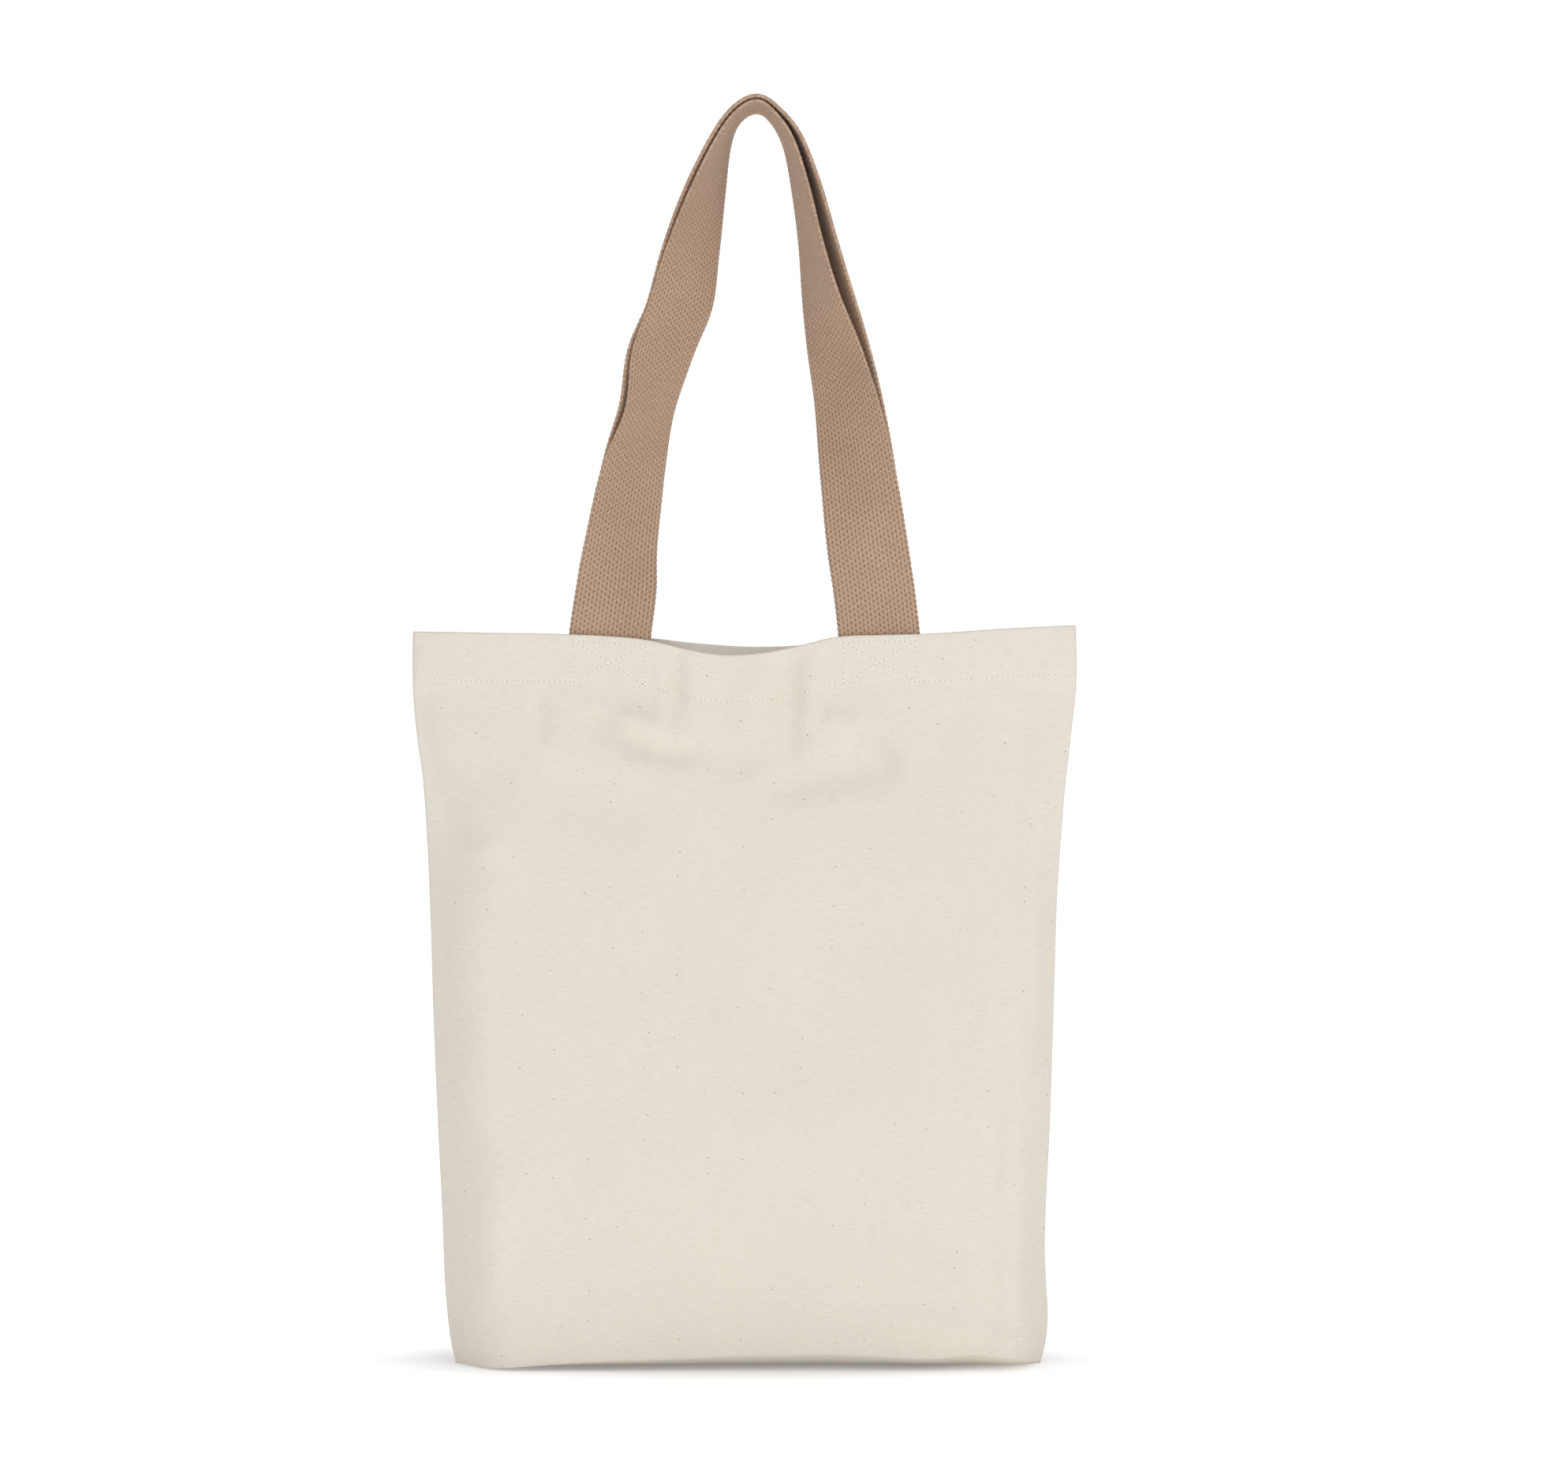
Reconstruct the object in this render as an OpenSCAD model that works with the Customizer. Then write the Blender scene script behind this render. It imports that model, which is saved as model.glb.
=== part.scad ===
// Canvas tote bag with a boxed bottom, a double-turned hem and two webbing handles.
// Frame: origin on the floor at the middle of the bottom, +Z up, the front faces -Y.

/* [Bag] */
// Width across the side seams at the hem
bag_w = 380; // [300:1:470]
// Height from the floor to the mouth
bag_h = 417; // [330:1:510]
// Depth of the boxed bottom from front to back
bottom_d = 72; // [50:1:100]
// Depth of the standing mouth from front to back
mouth_d = 20; // [18:1:40]
// How far each side seam is drawn in just above the bottom
side_draw = 17.5; // [10:0.5:30]
// How far the mouth edge dips between the handles
mouth_dip = 10; // [0:1:20]
// Radius of the soft fold between the wall and the bottom
fold_r = 3; // [2:0.5:6]

/* [Canvas] */
// Thickness of one layer of canvas
canvas_t = 0.8; // [0.6:0.1:1.1]
// Height of the turned hem
hem_h = 30; // [24:1:45]
// Layers of canvas in the hem
hem_layers = 3; // [2:1:3]
// Width of the seam allowances inside the bag
allowance_w = 10; // [8:1:14]

/* [Handles] */
// Width of the webbing
web_w = 47; // [34:1:56]
// Thickness of the webbing
web_t = 2.4; // [1.8:0.1:3.2]
// Distance between the middles of the two legs where they are sewn on
leg_spacing = 154; // [110:1:190]
// Height of the front handle above the mouth
handle_rise = 303; // [230:1:380]
// How far the top of the handles lies right of the middle
top_shift = 7; // [-15:1:15]
// Length of webbing sewn below the mouth
sewn_len = 31; // [24:1:40]

/* [Stitching] */
// Thickness of the sewing thread
thread_d = 0.6; // [0.4:0.1:0.9]
// How far a stitch stands proud of the cloth
thread_proud = 0.25; // [0.1:0.05:0.4]
// Distance from the mouth edge down to the top of the boxed stitching
box_top_gap = 4; // [3:0.5:8]
// Distance from the edge of the webbing in to the boxed stitching
box_side_gap = 3; // [2:0.5:6]
// Distance from the bottom edge of the hem up to its stitch line
hem_line_gap = 2; // [1.5:0.5:4]
// Width of the overlocked edge of the seam allowances
overlock_w = 4; // [3:0.5:6]

/* [Hidden] */
// Clearance between the hem and the webbing sewn on it
sewn_gap = 0.2;
// Height of the handle hinge above the mouth edge
hinge_lift = 0.3;
// Gap between the hinge and the start of a handle's moving webbing
loop_gap = 0.7;
// Gap between the hinge and the top of the sewn webbing below it
end_gap = 0.6;
// Half of the gap between the allowances of the two panels
allowance_gap = 0.05;
// Width of a side fold on the lower bag
side_fold_w = 26;
// Clearance between the webbing and the bend of the mouth towards a side seam
taper_gap = 7.5;
// Height share above which the side folds widen towards the hem
widen_from = 0.62;
// Height share above which the mouth dips between the handles
dip_from = 0.6;
// Distance below the hem where the side seams reach the full width
full_width_drop = 5;
// Height over which the side seams tuck in towards the floor
tuck_h = 35;
// Cloth taken up by the corner seams at each end of the bottom
corner_take = 4;
// Distance of the side seam's foot outside the straight front edge
foot_out = 17;

mouth_y = mouth_d / 2;
bottom_y = bottom_d / 2;
hem_t = hem_layers * canvas_t;
hem_z = bag_h - hem_h;
leg_x = leg_spacing / 2;
// Half width of the straight front edge of the bottom
corner_x = bag_w / 2 - bottom_y - corner_take;
foot_x = corner_x + foot_out;
mouth_fold_w = bag_w / 2 - leg_x - web_w / 2 - taper_gap;
// Each handle hinges along X in the middle of the hem's thickness, at its top edge
hinge_y = mouth_y - hem_t / 2;
hinge_z = bag_h + hinge_lift;
strap_y = hinge_y - hem_t / 2 - sewn_gap - web_t / 2;

canvas_colour = "#e4dccd";
webbing_colour = "#b89a7c";
thread_colour = "#f2ece0";

// A handle is held up at its top: each leg makes a quarter turn on its way up.
// Each point of a leg gives its way in to the top (%), its height (%), its turn (degrees)
// and how far the back handle lies off the front one (% of the webbing's width).
start_spread = 100 * 2 * strap_y / web_w;
LEFT_LEG = [
    [0, 0, 0, start_spread],
    [4, 8, 14, 23.4],
    [7, 16, 29, 21.3],
    [16, 31, 42, 14.9],
    [27, 42, 56, 10.6],
    [36, 53, 44, 8.5],
    [48, 62, 41, 7.7],
    [56, 72, 51, 7.7],
    [66, 83, 66, 8.5],
    [77, 93, 82, 9.4],
    [87, 98, 89, 9.4],
];
TOP_POINT = [100, 100, 90, 9.4];
RIGHT_LEG = [
    [0, 0, 0, start_spread],
    [4, 8, 3, 23.4],
    [9, 16, 8, 21.3],
    [16, 28, 21, 17],
    [26, 43, 39, 14.9],
    [37, 54, 51, 16],
    [48, 64, 65, 19.1],
    [56, 74, 75, 18.1],
    [64, 84, 80, 14.9],
    [74, 93, 85, 11.7],
    [87, 98, 89, 9.8],
];

// ---------- Shape of the cloth ----------

function clamp01(v) = max(0, min(1, v));
function smooth01(v) = let (c = clamp01(v)) c * c * (3 - 2 * c);

// Half width at a height: drawn in above the bottom, tucked in again at the floor.
function half_w(z) =
    let (draw = side_draw * (1 - pow(clamp01(z / (hem_z - full_width_drop)), 2)))
    let (tuck = (bag_w / 2 - side_draw - foot_x) * pow(1 - clamp01(z / tuck_h), 2))
    bag_w / 2 - draw - tuck;

// Width of the side fold at a height: narrow below, wide at the hem.
function fold_w(z) =
    let (start = widen_from * hem_z)
    side_fold_w + (mouth_fold_w - side_fold_w) * smooth01((z - start) / (hem_z - start));

// Half depth of the bag at a height, in the middle of its width.
function half_d(z) = mouth_y + (bottom_y - mouth_y) * (1 - pow(clamp01(z / hem_z), 2));

// Thickness of the wall at a height.
function wall_t(z) = z > hem_z ? hem_t : canvas_t;

// Distance of the wall's outer face from the middle plane.
function outer_y(x, z) =
    let (edge = wall_t(z))
    let (share = clamp01((half_w(z) - abs(x)) / fold_w(z)))
    edge + (half_d(z) - edge) * sin(90 * share);

// Dip of the mouth between the handles.
dip_half = leg_x - web_w / 2 - 1;
function dip(x, z) =
    abs(x) >= dip_half ? 0
    : mouth_dip * pow(cos(90 * x / dip_half), 2) * smooth01((z / bag_h - dip_from) / (1 - dip_from));

// ---------- Wall and bottom of one panel ----------

// Stations across a panel, closer together in the side folds.
stations_each = 14;
crowding = 0.75;
function spread_out(u) = (1 - crowding) * u + crowding * sin(90 * u);
STATIONS = [for (k = [-stations_each:stations_each]) spread_out(k / stations_each)];
wall_rows = 13;
// Height of the step from one layer of cloth to the hem's layers
hem_step = 0.6;
// Share of the half width over which the bottom fold fades out at a side seam
fold_fade = 0.08;

// Heights of the rows: fold, wall, the step into the hem, mouth.
function wall_heights() = concat(
    [for (k = [1:wall_rows]) fold_r + (hem_z - fold_r) * k / wall_rows],
    [hem_z + hem_step, hem_z + hem_h / 2, bag_h]
);

// Outer face from the middle of the bottom to the mouth: one row of points for each height.
tiny = 0.001;
function bottom_row(share) = [
    for (u = STATIONS)
        let (x = u * foot_x)
        [x, -share * max(outer_y(x, 0) - fold_r, tiny), 0]
];
function fold_row(angle) = [
    for (u = STATIONS)
        let (z = fold_r * (1 - cos(angle)))
        let (x = u * half_w(z))
        let (fade = clamp01((1 - abs(u)) / fold_fade))
        [x, -max(outer_y(x, z) - fold_r * (1 - sin(angle)) * fade, canvas_t), z]
];
function wall_row(z) = [
    for (u = STATIONS)
        let (x = u * half_w(z))
        [x, -outer_y(x, z), z - dip(x, z)]
];
fold_angles = [30, 60];
bottom_shares = [0, 0.5, 1];
low_rows = len(bottom_shares) + len(fold_angles) + 1;
function outer_rows() = concat(
    [for (share = bottom_shares) bottom_row(share)],
    [for (angle = fold_angles) fold_row(angle)],
    [wall_row(fold_r)],
    [for (z = wall_heights()) wall_row(z)]
);

function unit(v) = v / max(norm(v), tiny * tiny);
function grid_normal(g, j, i) =
    let (rows = len(g), cols = len(g[0]))
    let (along = g[j][min(i + 1, cols - 1)] - g[j][max(i - 1, 0)])
    let (up = g[min(j + 1, rows - 1)][i] - g[max(j - 1, 0)][i])
    unit(cross(up, along));

// Inner face: the outer face moved in by the thickness of the cloth.
function inner_point(g, j, i) =
    let (p = g[j][i], cols = len(g[0]))
    let (t = wall_t(p.z + dip(p.x, p.z)))
    j == 0 ? [p.x, p.y, canvas_t]
    : i == 0 || i == cols - 1 ? [p.x, min(p.y + t, 0), j < low_rows ? max(p.z, canvas_t) : p.z]
    : let (q = p + t * grid_normal(g, j, i))
      [q.x, min(q.y, 0), j < len(bottom_shares) ? canvas_t : j == len(g) - 1 ? p.z : q.z];

// Two triangles of a square of points, given in turn round its outside.
function square_faces(a, b, c, d) = [[a, c, b], [a, d, c]];

// A closed sheet between two grids of points of the same size.
module sheet(outer, inner) {
    top = len(outer) - 1;
    end = len(outer[0]) - 1;
    count = (top + 1) * (end + 1);
    function out(j, i) = j * (end + 1) + i;
    function in(j, i) = count + out(j, i);
    squares = concat(
        [for (j = [0:top - 1]) for (i = [0:end - 1])
            square_faces(out(j, i), out(j, i + 1), out(j + 1, i + 1), out(j + 1, i))],
        [for (j = [0:top - 1]) for (i = [0:end - 1])
            square_faces(in(j, i), in(j + 1, i), in(j + 1, i + 1), in(j, i + 1))],
        [for (i = [0:end - 1]) square_faces(out(0, i), in(0, i), in(0, i + 1), out(0, i + 1))],
        [for (i = [0:end - 1])
            square_faces(out(top, i), out(top, i + 1), in(top, i + 1), in(top, i))],
        [for (j = [0:top - 1]) square_faces(out(j, 0), out(j + 1, 0), in(j + 1, 0), in(j, 0))],
        [for (j = [0:top - 1])
            square_faces(out(j, end), in(j, end), in(j + 1, end), out(j + 1, end))]
    );
    points = concat([for (row = outer) each row], [for (row = inner) each row]);
    polyhedron(points = points, faces = [for (q = squares) each q], convexity = 10);
}

module wall() {
    outer = outer_rows();
    last = len(STATIONS) - 1;
    inner = [for (j = [0:len(outer) - 1]) [for (i = [0:last]) inner_point(outer, j, i)]];
    sheet(outer, inner);
}

// A plate that follows a side seam: from and to are its distances in from the seam.
plate_rows = 12;
module side_plate(side, from, to, low, high, deep) {
    heights = [for (k = [0:plate_rows]) low + (high - low) * k / plate_rows];
    outline = concat(
        [for (z = heights) [half_w(z) - from, z]],
        [for (k = [plate_rows:-1:0]) [half_w(heights[k]) - to, heights[k]]]
    );
    rotate([90, 0, 0])
        linear_extrude(deep)
            scale([side, 1])
                polygon(outline);
}

// Allowance along a side seam, flat inside the bag, from the bottom up to the hem.
module side_allowance(side) {
    translate([0, -allowance_gap, 0])
        side_plate(side, canvas_t / 4, allowance_w, canvas_t / 2, hem_z + hem_step,
            canvas_t - allowance_gap);
}

// Allowance along the bottom seam, standing up inside the bag.
bottom_seam_x = corner_x - corner_take;
module bottom_allowance() {
    translate([-bottom_seam_x, -canvas_t, canvas_t / 2])
        cube([2 * bottom_seam_x, canvas_t - allowance_gap, allowance_w - canvas_t / 2]);
}

// Line of a corner seam in plan, from the front edge of the bottom to the foot of the side seam,
// kept inside the wall.
corner_from = [corner_x, bottom_y] - [1.6, 4.8];
corner_to = [foot_x, 0] - [4, -2.4];
corner_length = norm(corner_to - corner_from);
corner_turn = atan2(corner_to.y - corner_from.y, corner_to.x - corner_from.x);
module along_corner(side, along) {
    scale([side, -1, 1])
        translate([corner_from.x, corner_from.y, 0])
            rotate([0, 0, corner_turn])
                translate([along, 0, 0])
                    children();
}
module corner_allowance(side) {
    along_corner(side, 0)
        translate([0, -2 * canvas_t, canvas_t / 2])
            cube([corner_length, 2 * canvas_t, allowance_w - canvas_t / 2]);
}

module panel() {
    wall();
    side_allowance(-1);
    side_allowance(1);
    bottom_allowance();
    corner_allowance(-1);
    corner_allowance(1);
}

module at_back() {
    mirror([0, 1, 0]) children();
}

module front_panel() {
    color(canvas_colour) panel();
}

module back_panel() {
    color(canvas_colour) at_back() panel();
}

// ---------- Webbing ----------

// The points of the front handle from the left leg to the right one, in millimetres,
// each with its turn and the distance of the back handle.
function leg_point(p, side) =
    let (in = p[0] / 100, up = p[1] / 100)
    let (x = side * leg_x + in * (top_shift - side * leg_x))
    let (start_z = hinge_z + loop_gap, top_z = bag_h + handle_rise)
    [x, -strap_y * (1 - up), start_z + up * (top_z - start_z), p[2], p[3] / 100 * web_w];
ROUTE = concat(
    [for (p = LEFT_LEG) leg_point(p, -1)],
    [leg_point(TOP_POINT, 1)],
    [for (k = [len(RIGHT_LEG) - 1:-1:0]) leg_point(RIGHT_LEG[k], 1)]
);

// A smooth curve through the points of the route.
function curve(k, t) =
    let (last = len(ROUTE) - 1)
    let (a = ROUTE[max(k - 1, 0)], b = ROUTE[k], c = ROUTE[k + 1], d = ROUTE[min(k + 2, last)])
    let (s = t * t, u = t * t * t)
    0.5 * (2 * b + (c - a) * t + (2 * a - 5 * b + 4 * c - d) * s + (3 * b - a - 3 * c + d) * u);
function place(p) = [p[0], p[1], p[2]];

steps_each = 2;
CENTRES = concat(
    [for (k = [0:len(ROUTE) - 2]) for (s = [0:steps_each - 1]) curve(k, s / steps_each)],
    [ROUTE[len(ROUTE) - 1]]
);

// Direction along the webbing, straight up where it leaves the hem.
function heading(k) =
    let (last = len(CENTRES) - 1)
    k == 0 ? [0, 0, 1]
    : k == last ? [0, 0, -1]
    : unit(place(CENTRES[k + 1]) - place(CENTRES[k - 1]));
// Direction across the webbing, towards its outer edge on both legs.
top_index = len(LEFT_LEG) * steps_each;
function across(k) =
    let (turn = CENTRES[k][3])
    [(k < top_index ? -1 : 1) * cos(turn), -sin(turn), 0];
// Direction out of the face that faces the front at the hem and the inside at the top.
function facing(k) = unit(cross(heading(k), across(k)));

cells_across = 4;
function ring(k, off) =
    let (c = place(CENTRES[k]) - off * CENTRES[k][4] * facing(k))
    let (half = web_t / 2 * facing(k))
    concat(
        [for (i = [0:cells_across]) c + (i / cells_across - 0.5) * web_w * across(k) + half],
        [for (i = [cells_across:-1:0]) c + (i / cells_across - 0.5) * web_w * across(k) - half]
    );

// A closed solid through rings of points that follow each other.
module through_rings(rings) {
    n = len(rings[0]);
    last = len(rings) - 1;
    points = [for (r = rings) for (p = r) p];
    squares = concat(
        [for (k = [0:last - 1]) for (i = [0:n - 1])
            let (next = (i + 1) % n)
            square_faces(k * n + i, (k + 1) * n + i, (k + 1) * n + next, k * n + next)],
        [for (i = [0:n / 2 - 2]) square_faces(i, i + 1, n - 2 - i, n - 1 - i)],
        [for (i = [0:n / 2 - 2])
            let (a = last * n + i, b = last * n + n - 1 - i)
            square_faces(a, b, b - 1, a + 1)]
    );
    polyhedron(points = points, faces = [for (q = squares) each q], convexity = 8);
}

module handle(off) {
    through_rings([for (k = [0:len(CENTRES) - 1]) ring(k, off)]);
}

module front_handle() {
    color(webbing_colour) handle(0);
}

module back_handle() {
    color(webbing_colour) handle(1);
}

// One upright end of the webbing, sewn on the inside of the hem.
module strap_end(side) {
    translate([side * leg_x - web_w / 2, -strap_y - web_t / 2, bag_h - sewn_len])
        cube([web_w, web_t, hinge_z - end_gap - bag_h + sewn_len]);
}

module front_left_strap_end() {
    color(webbing_colour) strap_end(-1);
}

module front_right_strap_end() {
    color(webbing_colour) strap_end(1);
}

module back_left_strap_end() {
    color(webbing_colour) at_back() strap_end(-1);
}

module back_right_strap_end() {
    color(webbing_colour) at_back() strap_end(1);
}

// ---------- Stitching ----------

// A box with a cross in it, sewn through the hem and the webbing.
module box_stitching(side) {
    half = web_w / 2 - box_side_gap;
    top = bag_h - box_top_gap;
    low = hem_z + hem_line_gap + thread_d;
    middle = (top + low) / 2;
    rise = atan2(top - low, 2 * half);
    deep = hem_t + sewn_gap + web_t + 2 * thread_proud;
    diagonal = norm([2 * half, top - low]);
    translate([side * leg_x, -mouth_y - thread_proud + deep, middle])
        rotate([90, 0, 0])
            linear_extrude(deep) {
                difference() {
                    square([2 * half + thread_d, top - low + thread_d], center = true);
                    square([2 * half - thread_d, top - low - thread_d], center = true);
                }
                for (turn = [-rise, rise]) {
                    rotate(turn) square([diagonal, thread_d], center = true);
                }
            }
}

module front_left_box_stitching() {
    color(thread_colour) box_stitching(-1);
}

module front_right_box_stitching() {
    color(thread_colour) box_stitching(1);
}

module back_left_box_stitching() {
    color(thread_colour) at_back() box_stitching(-1);
}

module back_right_box_stitching() {
    color(thread_colour) at_back() box_stitching(1);
}

// The stitch line of the hem, through all its layers and round to near the side seams.
hem_line_cells = 36;
hem_line_end = bag_w / 2 - allowance_w;
module hem_stitching() {
    z = hem_z + hem_step + hem_line_gap;
    stations = [for (k = [0:hem_line_cells]) hem_line_end * (2 * k / hem_line_cells - 1)];
    through_rings([
        for (x = stations)
            let (y = -outer_y(x, z), base = z - dip(x, z))
            [
                [x, y - thread_proud, base],
                [x, y - thread_proud, base + thread_d],
                [x, y + hem_t + thread_proud, base + thread_d],
                [x, y + hem_t + thread_proud, base],
            ]
    ]);
}

module front_hem_stitching() {
    color(thread_colour) hem_stitching();
}

module back_hem_stitching() {
    color(thread_colour) at_back() hem_stitching();
}

// Seams lie this far inside the edge of the cloth.
seam_in = 2.4;
seam_low_z = 8;
seam_top_z = hem_z - 2;
module side_seam(side) {
    deep = canvas_t + thread_proud;
    translate([0, deep, 0])
        side_plate(side, seam_in, seam_in + thread_d, seam_low_z, seam_top_z, 2 * deep);
}

module left_side_seam() {
    color(thread_colour) side_seam(-1);
}

module right_side_seam() {
    color(thread_colour) side_seam(1);
}

// Seam and overlock threads stop this short of the ends of their allowance.
seam_trim = 1.5;
module bottom_seam() {
    color(thread_colour)
        translate([seam_trim - bottom_seam_x, -canvas_t - thread_proud, seam_in])
            cube([2 * (bottom_seam_x - seam_trim), 2 * (canvas_t + thread_proud), thread_d]);
}

// The two runs of a corner seam, one on each panel.
module corner_band(side, low, high, proud) {
    for (half = [1, -1]) {
        scale([1, half, 1])
            along_corner(side, seam_trim)
                translate([0, -2 * canvas_t - proud, low])
                    cube([corner_length - 2 * seam_trim, 2 * (canvas_t + proud), high - low]);
    }
}

module left_corner_seam() {
    color(thread_colour) corner_band(-1, seam_in, seam_in + thread_d, thread_proud);
}

module right_corner_seam() {
    color(thread_colour) corner_band(1, seam_in, seam_in + thread_d, thread_proud);
}

// Overlock thread wrapped over the raw edges of the allowances.
overlock_proud = 0.3;
module side_overlock(side) {
    deep = canvas_t + overlock_proud;
    translate([0, deep, 0])
        side_plate(side, allowance_w - overlock_w, allowance_w + overlock_proud,
            allowance_w + overlock_w, seam_top_z, 2 * deep);
}

module left_side_overlock() {
    color(thread_colour) side_overlock(-1);
}

module right_side_overlock() {
    color(thread_colour) side_overlock(1);
}

module bottom_overlock() {
    deep = canvas_t + overlock_proud;
    color(thread_colour)
        translate([seam_trim - bottom_seam_x, -deep, allowance_w - overlock_w])
            cube([2 * (bottom_seam_x - seam_trim), 2 * deep, overlock_w + overlock_proud]);
}

module left_corner_overlock() {
    color(thread_colour)
        corner_band(-1, allowance_w - overlock_w, allowance_w + overlock_proud, overlock_proud);
}

module right_corner_overlock() {
    color(thread_colour)
        corner_band(1, allowance_w - overlock_w, allowance_w + overlock_proud, overlock_proud);
}

front_panel();
back_panel();
front_handle();
back_handle();
front_left_strap_end();
front_right_strap_end();
back_left_strap_end();
back_right_strap_end();
front_left_box_stitching();
front_right_box_stitching();
back_left_box_stitching();
back_right_box_stitching();
front_hem_stitching();
back_hem_stitching();
left_side_seam();
right_side_seam();
bottom_seam();
left_corner_seam();
right_corner_seam();
left_side_overlock();
right_side_overlock();
bottom_overlock();
left_corner_overlock();
right_corner_overlock();
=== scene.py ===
"""Canvas tote bag: a boxed canvas bag with a turned hem and two webbing handles.

Shapes are worked out in millimetres in the shared frame: the origin is on the floor in
the middle of the bottom, Z is up and the front faces -Y. Meshes are written in metres.
"""

import logging
import math
from collections.abc import Callable
from dataclasses import dataclass
from enum import Enum
from functools import partial
from typing import Any

import bpy
import numpy as np
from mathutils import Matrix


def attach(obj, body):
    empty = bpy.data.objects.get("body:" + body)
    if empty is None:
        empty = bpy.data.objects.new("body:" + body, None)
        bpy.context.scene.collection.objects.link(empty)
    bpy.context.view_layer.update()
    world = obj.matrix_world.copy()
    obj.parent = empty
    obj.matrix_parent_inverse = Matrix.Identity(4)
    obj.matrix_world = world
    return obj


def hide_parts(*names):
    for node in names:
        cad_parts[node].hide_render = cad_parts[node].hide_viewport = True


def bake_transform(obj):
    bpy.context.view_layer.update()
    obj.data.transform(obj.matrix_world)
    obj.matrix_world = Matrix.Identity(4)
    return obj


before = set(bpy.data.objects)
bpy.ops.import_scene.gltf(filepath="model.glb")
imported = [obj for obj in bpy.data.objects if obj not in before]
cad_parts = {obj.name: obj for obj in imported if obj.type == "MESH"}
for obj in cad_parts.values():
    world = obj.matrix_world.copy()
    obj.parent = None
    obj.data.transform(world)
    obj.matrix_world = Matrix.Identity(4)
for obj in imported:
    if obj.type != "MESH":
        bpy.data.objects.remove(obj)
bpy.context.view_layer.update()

MM = 0.001
Array = np.ndarray
log = logging.getLogger("tote_bag")


# ---------- Small tools ----------


class Face(Enum):
    """The two panels of the bag, by the sign of the Y that they face."""

    FRONT = -1
    BACK = 1

    @property
    def label(self) -> str:
        """The word that starts the names of this panel's pieces."""
        return self.name.lower()


class Side(Enum):
    """The two side seams and the two legs of a handle, by the sign of their X."""

    LEFT = -1
    RIGHT = 1

    @property
    def label(self) -> str:
        """The word for this side in the names of pieces."""
        return self.name.lower()


def smooth(v: Array) -> Array:
    """Cubic ease from 0 at 0 to 1 at 1, level outside."""
    c = np.clip(v, 0.0, 1.0)
    return c * c * (3.0 - 2.0 * c)


def through(knots: tuple[tuple[float, float], ...], at: Array) -> Array:
    """Smooth curve through knots: on each span the cubic that meets both ends with their slopes.

    Args:
        knots: (place, value) pairs in rising order of place.
        at: Places where the value is wanted.

    Returns:
        The value at each place, level beyond the ends.
    """
    x, y = np.array(knots, float).T
    slope = np.gradient(y, x)
    i = np.clip(np.searchsorted(x, at) - 1, 0, len(x) - 2)
    h = x[i + 1] - x[i]
    t = np.clip((at - x[i]) / h, 0.0, 1.0)
    s = 1.0 - t
    return (
        y[i] * (1 + 2 * t) * s * s
        + y[i + 1] * t * t * (3 - 2 * t)
        + h * (slope[i] * t * s * s - slope[i + 1] * t * t * s)
    )


def unit(v: Array) -> Array:
    """Vectors of length one along v."""
    return v / np.maximum(np.linalg.norm(v, axis=-1, keepdims=True), 1e-9)


def grid_quads(rows: int, cols: int, round_: bool = False) -> Array:
    """Squares between the points of a grid numbered row by row.

    Args:
        rows: Number of rows of points.
        cols: Number of points in a row.
        round_: Whether each row closes on itself.

    Returns:
        Four point numbers for each square, turning from the columns to the rows.
    """
    c = np.arange(cols if round_ else cols - 1)
    r = np.arange(rows - 1)[:, None] * cols
    n = (c + 1) % cols
    return np.stack([r + c, r + n, r + cols + n, r + cols + c], axis=-1).reshape(-1, 4)


class Pieces:
    """Patches of squares that are written into one mesh object."""

    def __init__(self) -> None:
        """Starts with no patch."""
        self.points: list[Array] = []
        self.places: list[Array] = []
        self.squares: list[Array] = []
        self.count = 0

    def patch(self, points: Array, places: Array, turned: bool = False, round_: bool = False) -> None:
        """Adds a grid of points, or many equal grids at once.

        Args:
            points: (..., rows, cols, 3) in millimetres.
            places: (..., rows, cols, 2) flat place of each point on its cloth, in millimetres.
            turned: Whether the faces look the other way.
            round_: Whether each row closes on itself.
        """
        rows, cols = points.shape[-3:-1]
        grids = points.reshape(-1, rows * cols, 3)
        quads = grid_quads(rows, cols, round_)
        if turned:
            quads = quads[:, ::-1]
        start = self.count + np.arange(len(grids))[:, None, None] * rows * cols
        self.squares.append((quads[None] + start).reshape(-1, 4))
        self.points.append(grids.reshape(-1, 3))
        self.places.append(places.reshape(-1, 2))
        self.count += grids.shape[0] * rows * cols

    def faces(self, squares: Array) -> None:
        """Adds squares between points that are already there."""
        self.squares.append(squares)

    def write(self, name: str) -> bpy.types.Object:
        """Writes everything into a new object at the origin.

        Args:
            name: Name of the object.

        Returns:
            The object, smooth shaded, with its flat places as the UV map "cloth" in metres.
        """
        co = np.concatenate(self.points) * MM
        uv = np.concatenate(self.places) * MM
        quads = np.concatenate(self.squares)
        mesh = bpy.data.meshes.new(name)
        mesh.vertices.add(len(co))
        mesh.vertices.foreach_set("co", co.astype(np.float32).ravel())
        mesh.loops.add(quads.size)
        mesh.loops.foreach_set("vertex_index", quads.astype(np.int32).ravel())
        mesh.polygons.add(len(quads))
        mesh.polygons.foreach_set("loop_start", np.arange(0, quads.size, 4, dtype=np.int32))
        mesh.polygons.foreach_set("use_smooth", np.ones(len(quads), bool))
        mesh.update(calc_edges=True)
        layer = mesh.uv_layers.new(name="cloth")
        layer.data.foreach_set("uv", uv[quads.ravel()].astype(np.float32).ravel())
        mesh.validate()
        obj = bpy.data.objects.new(name, mesh)
        bpy.context.scene.collection.objects.link(obj)
        return obj


# ---------- Finishes ----------


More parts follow.
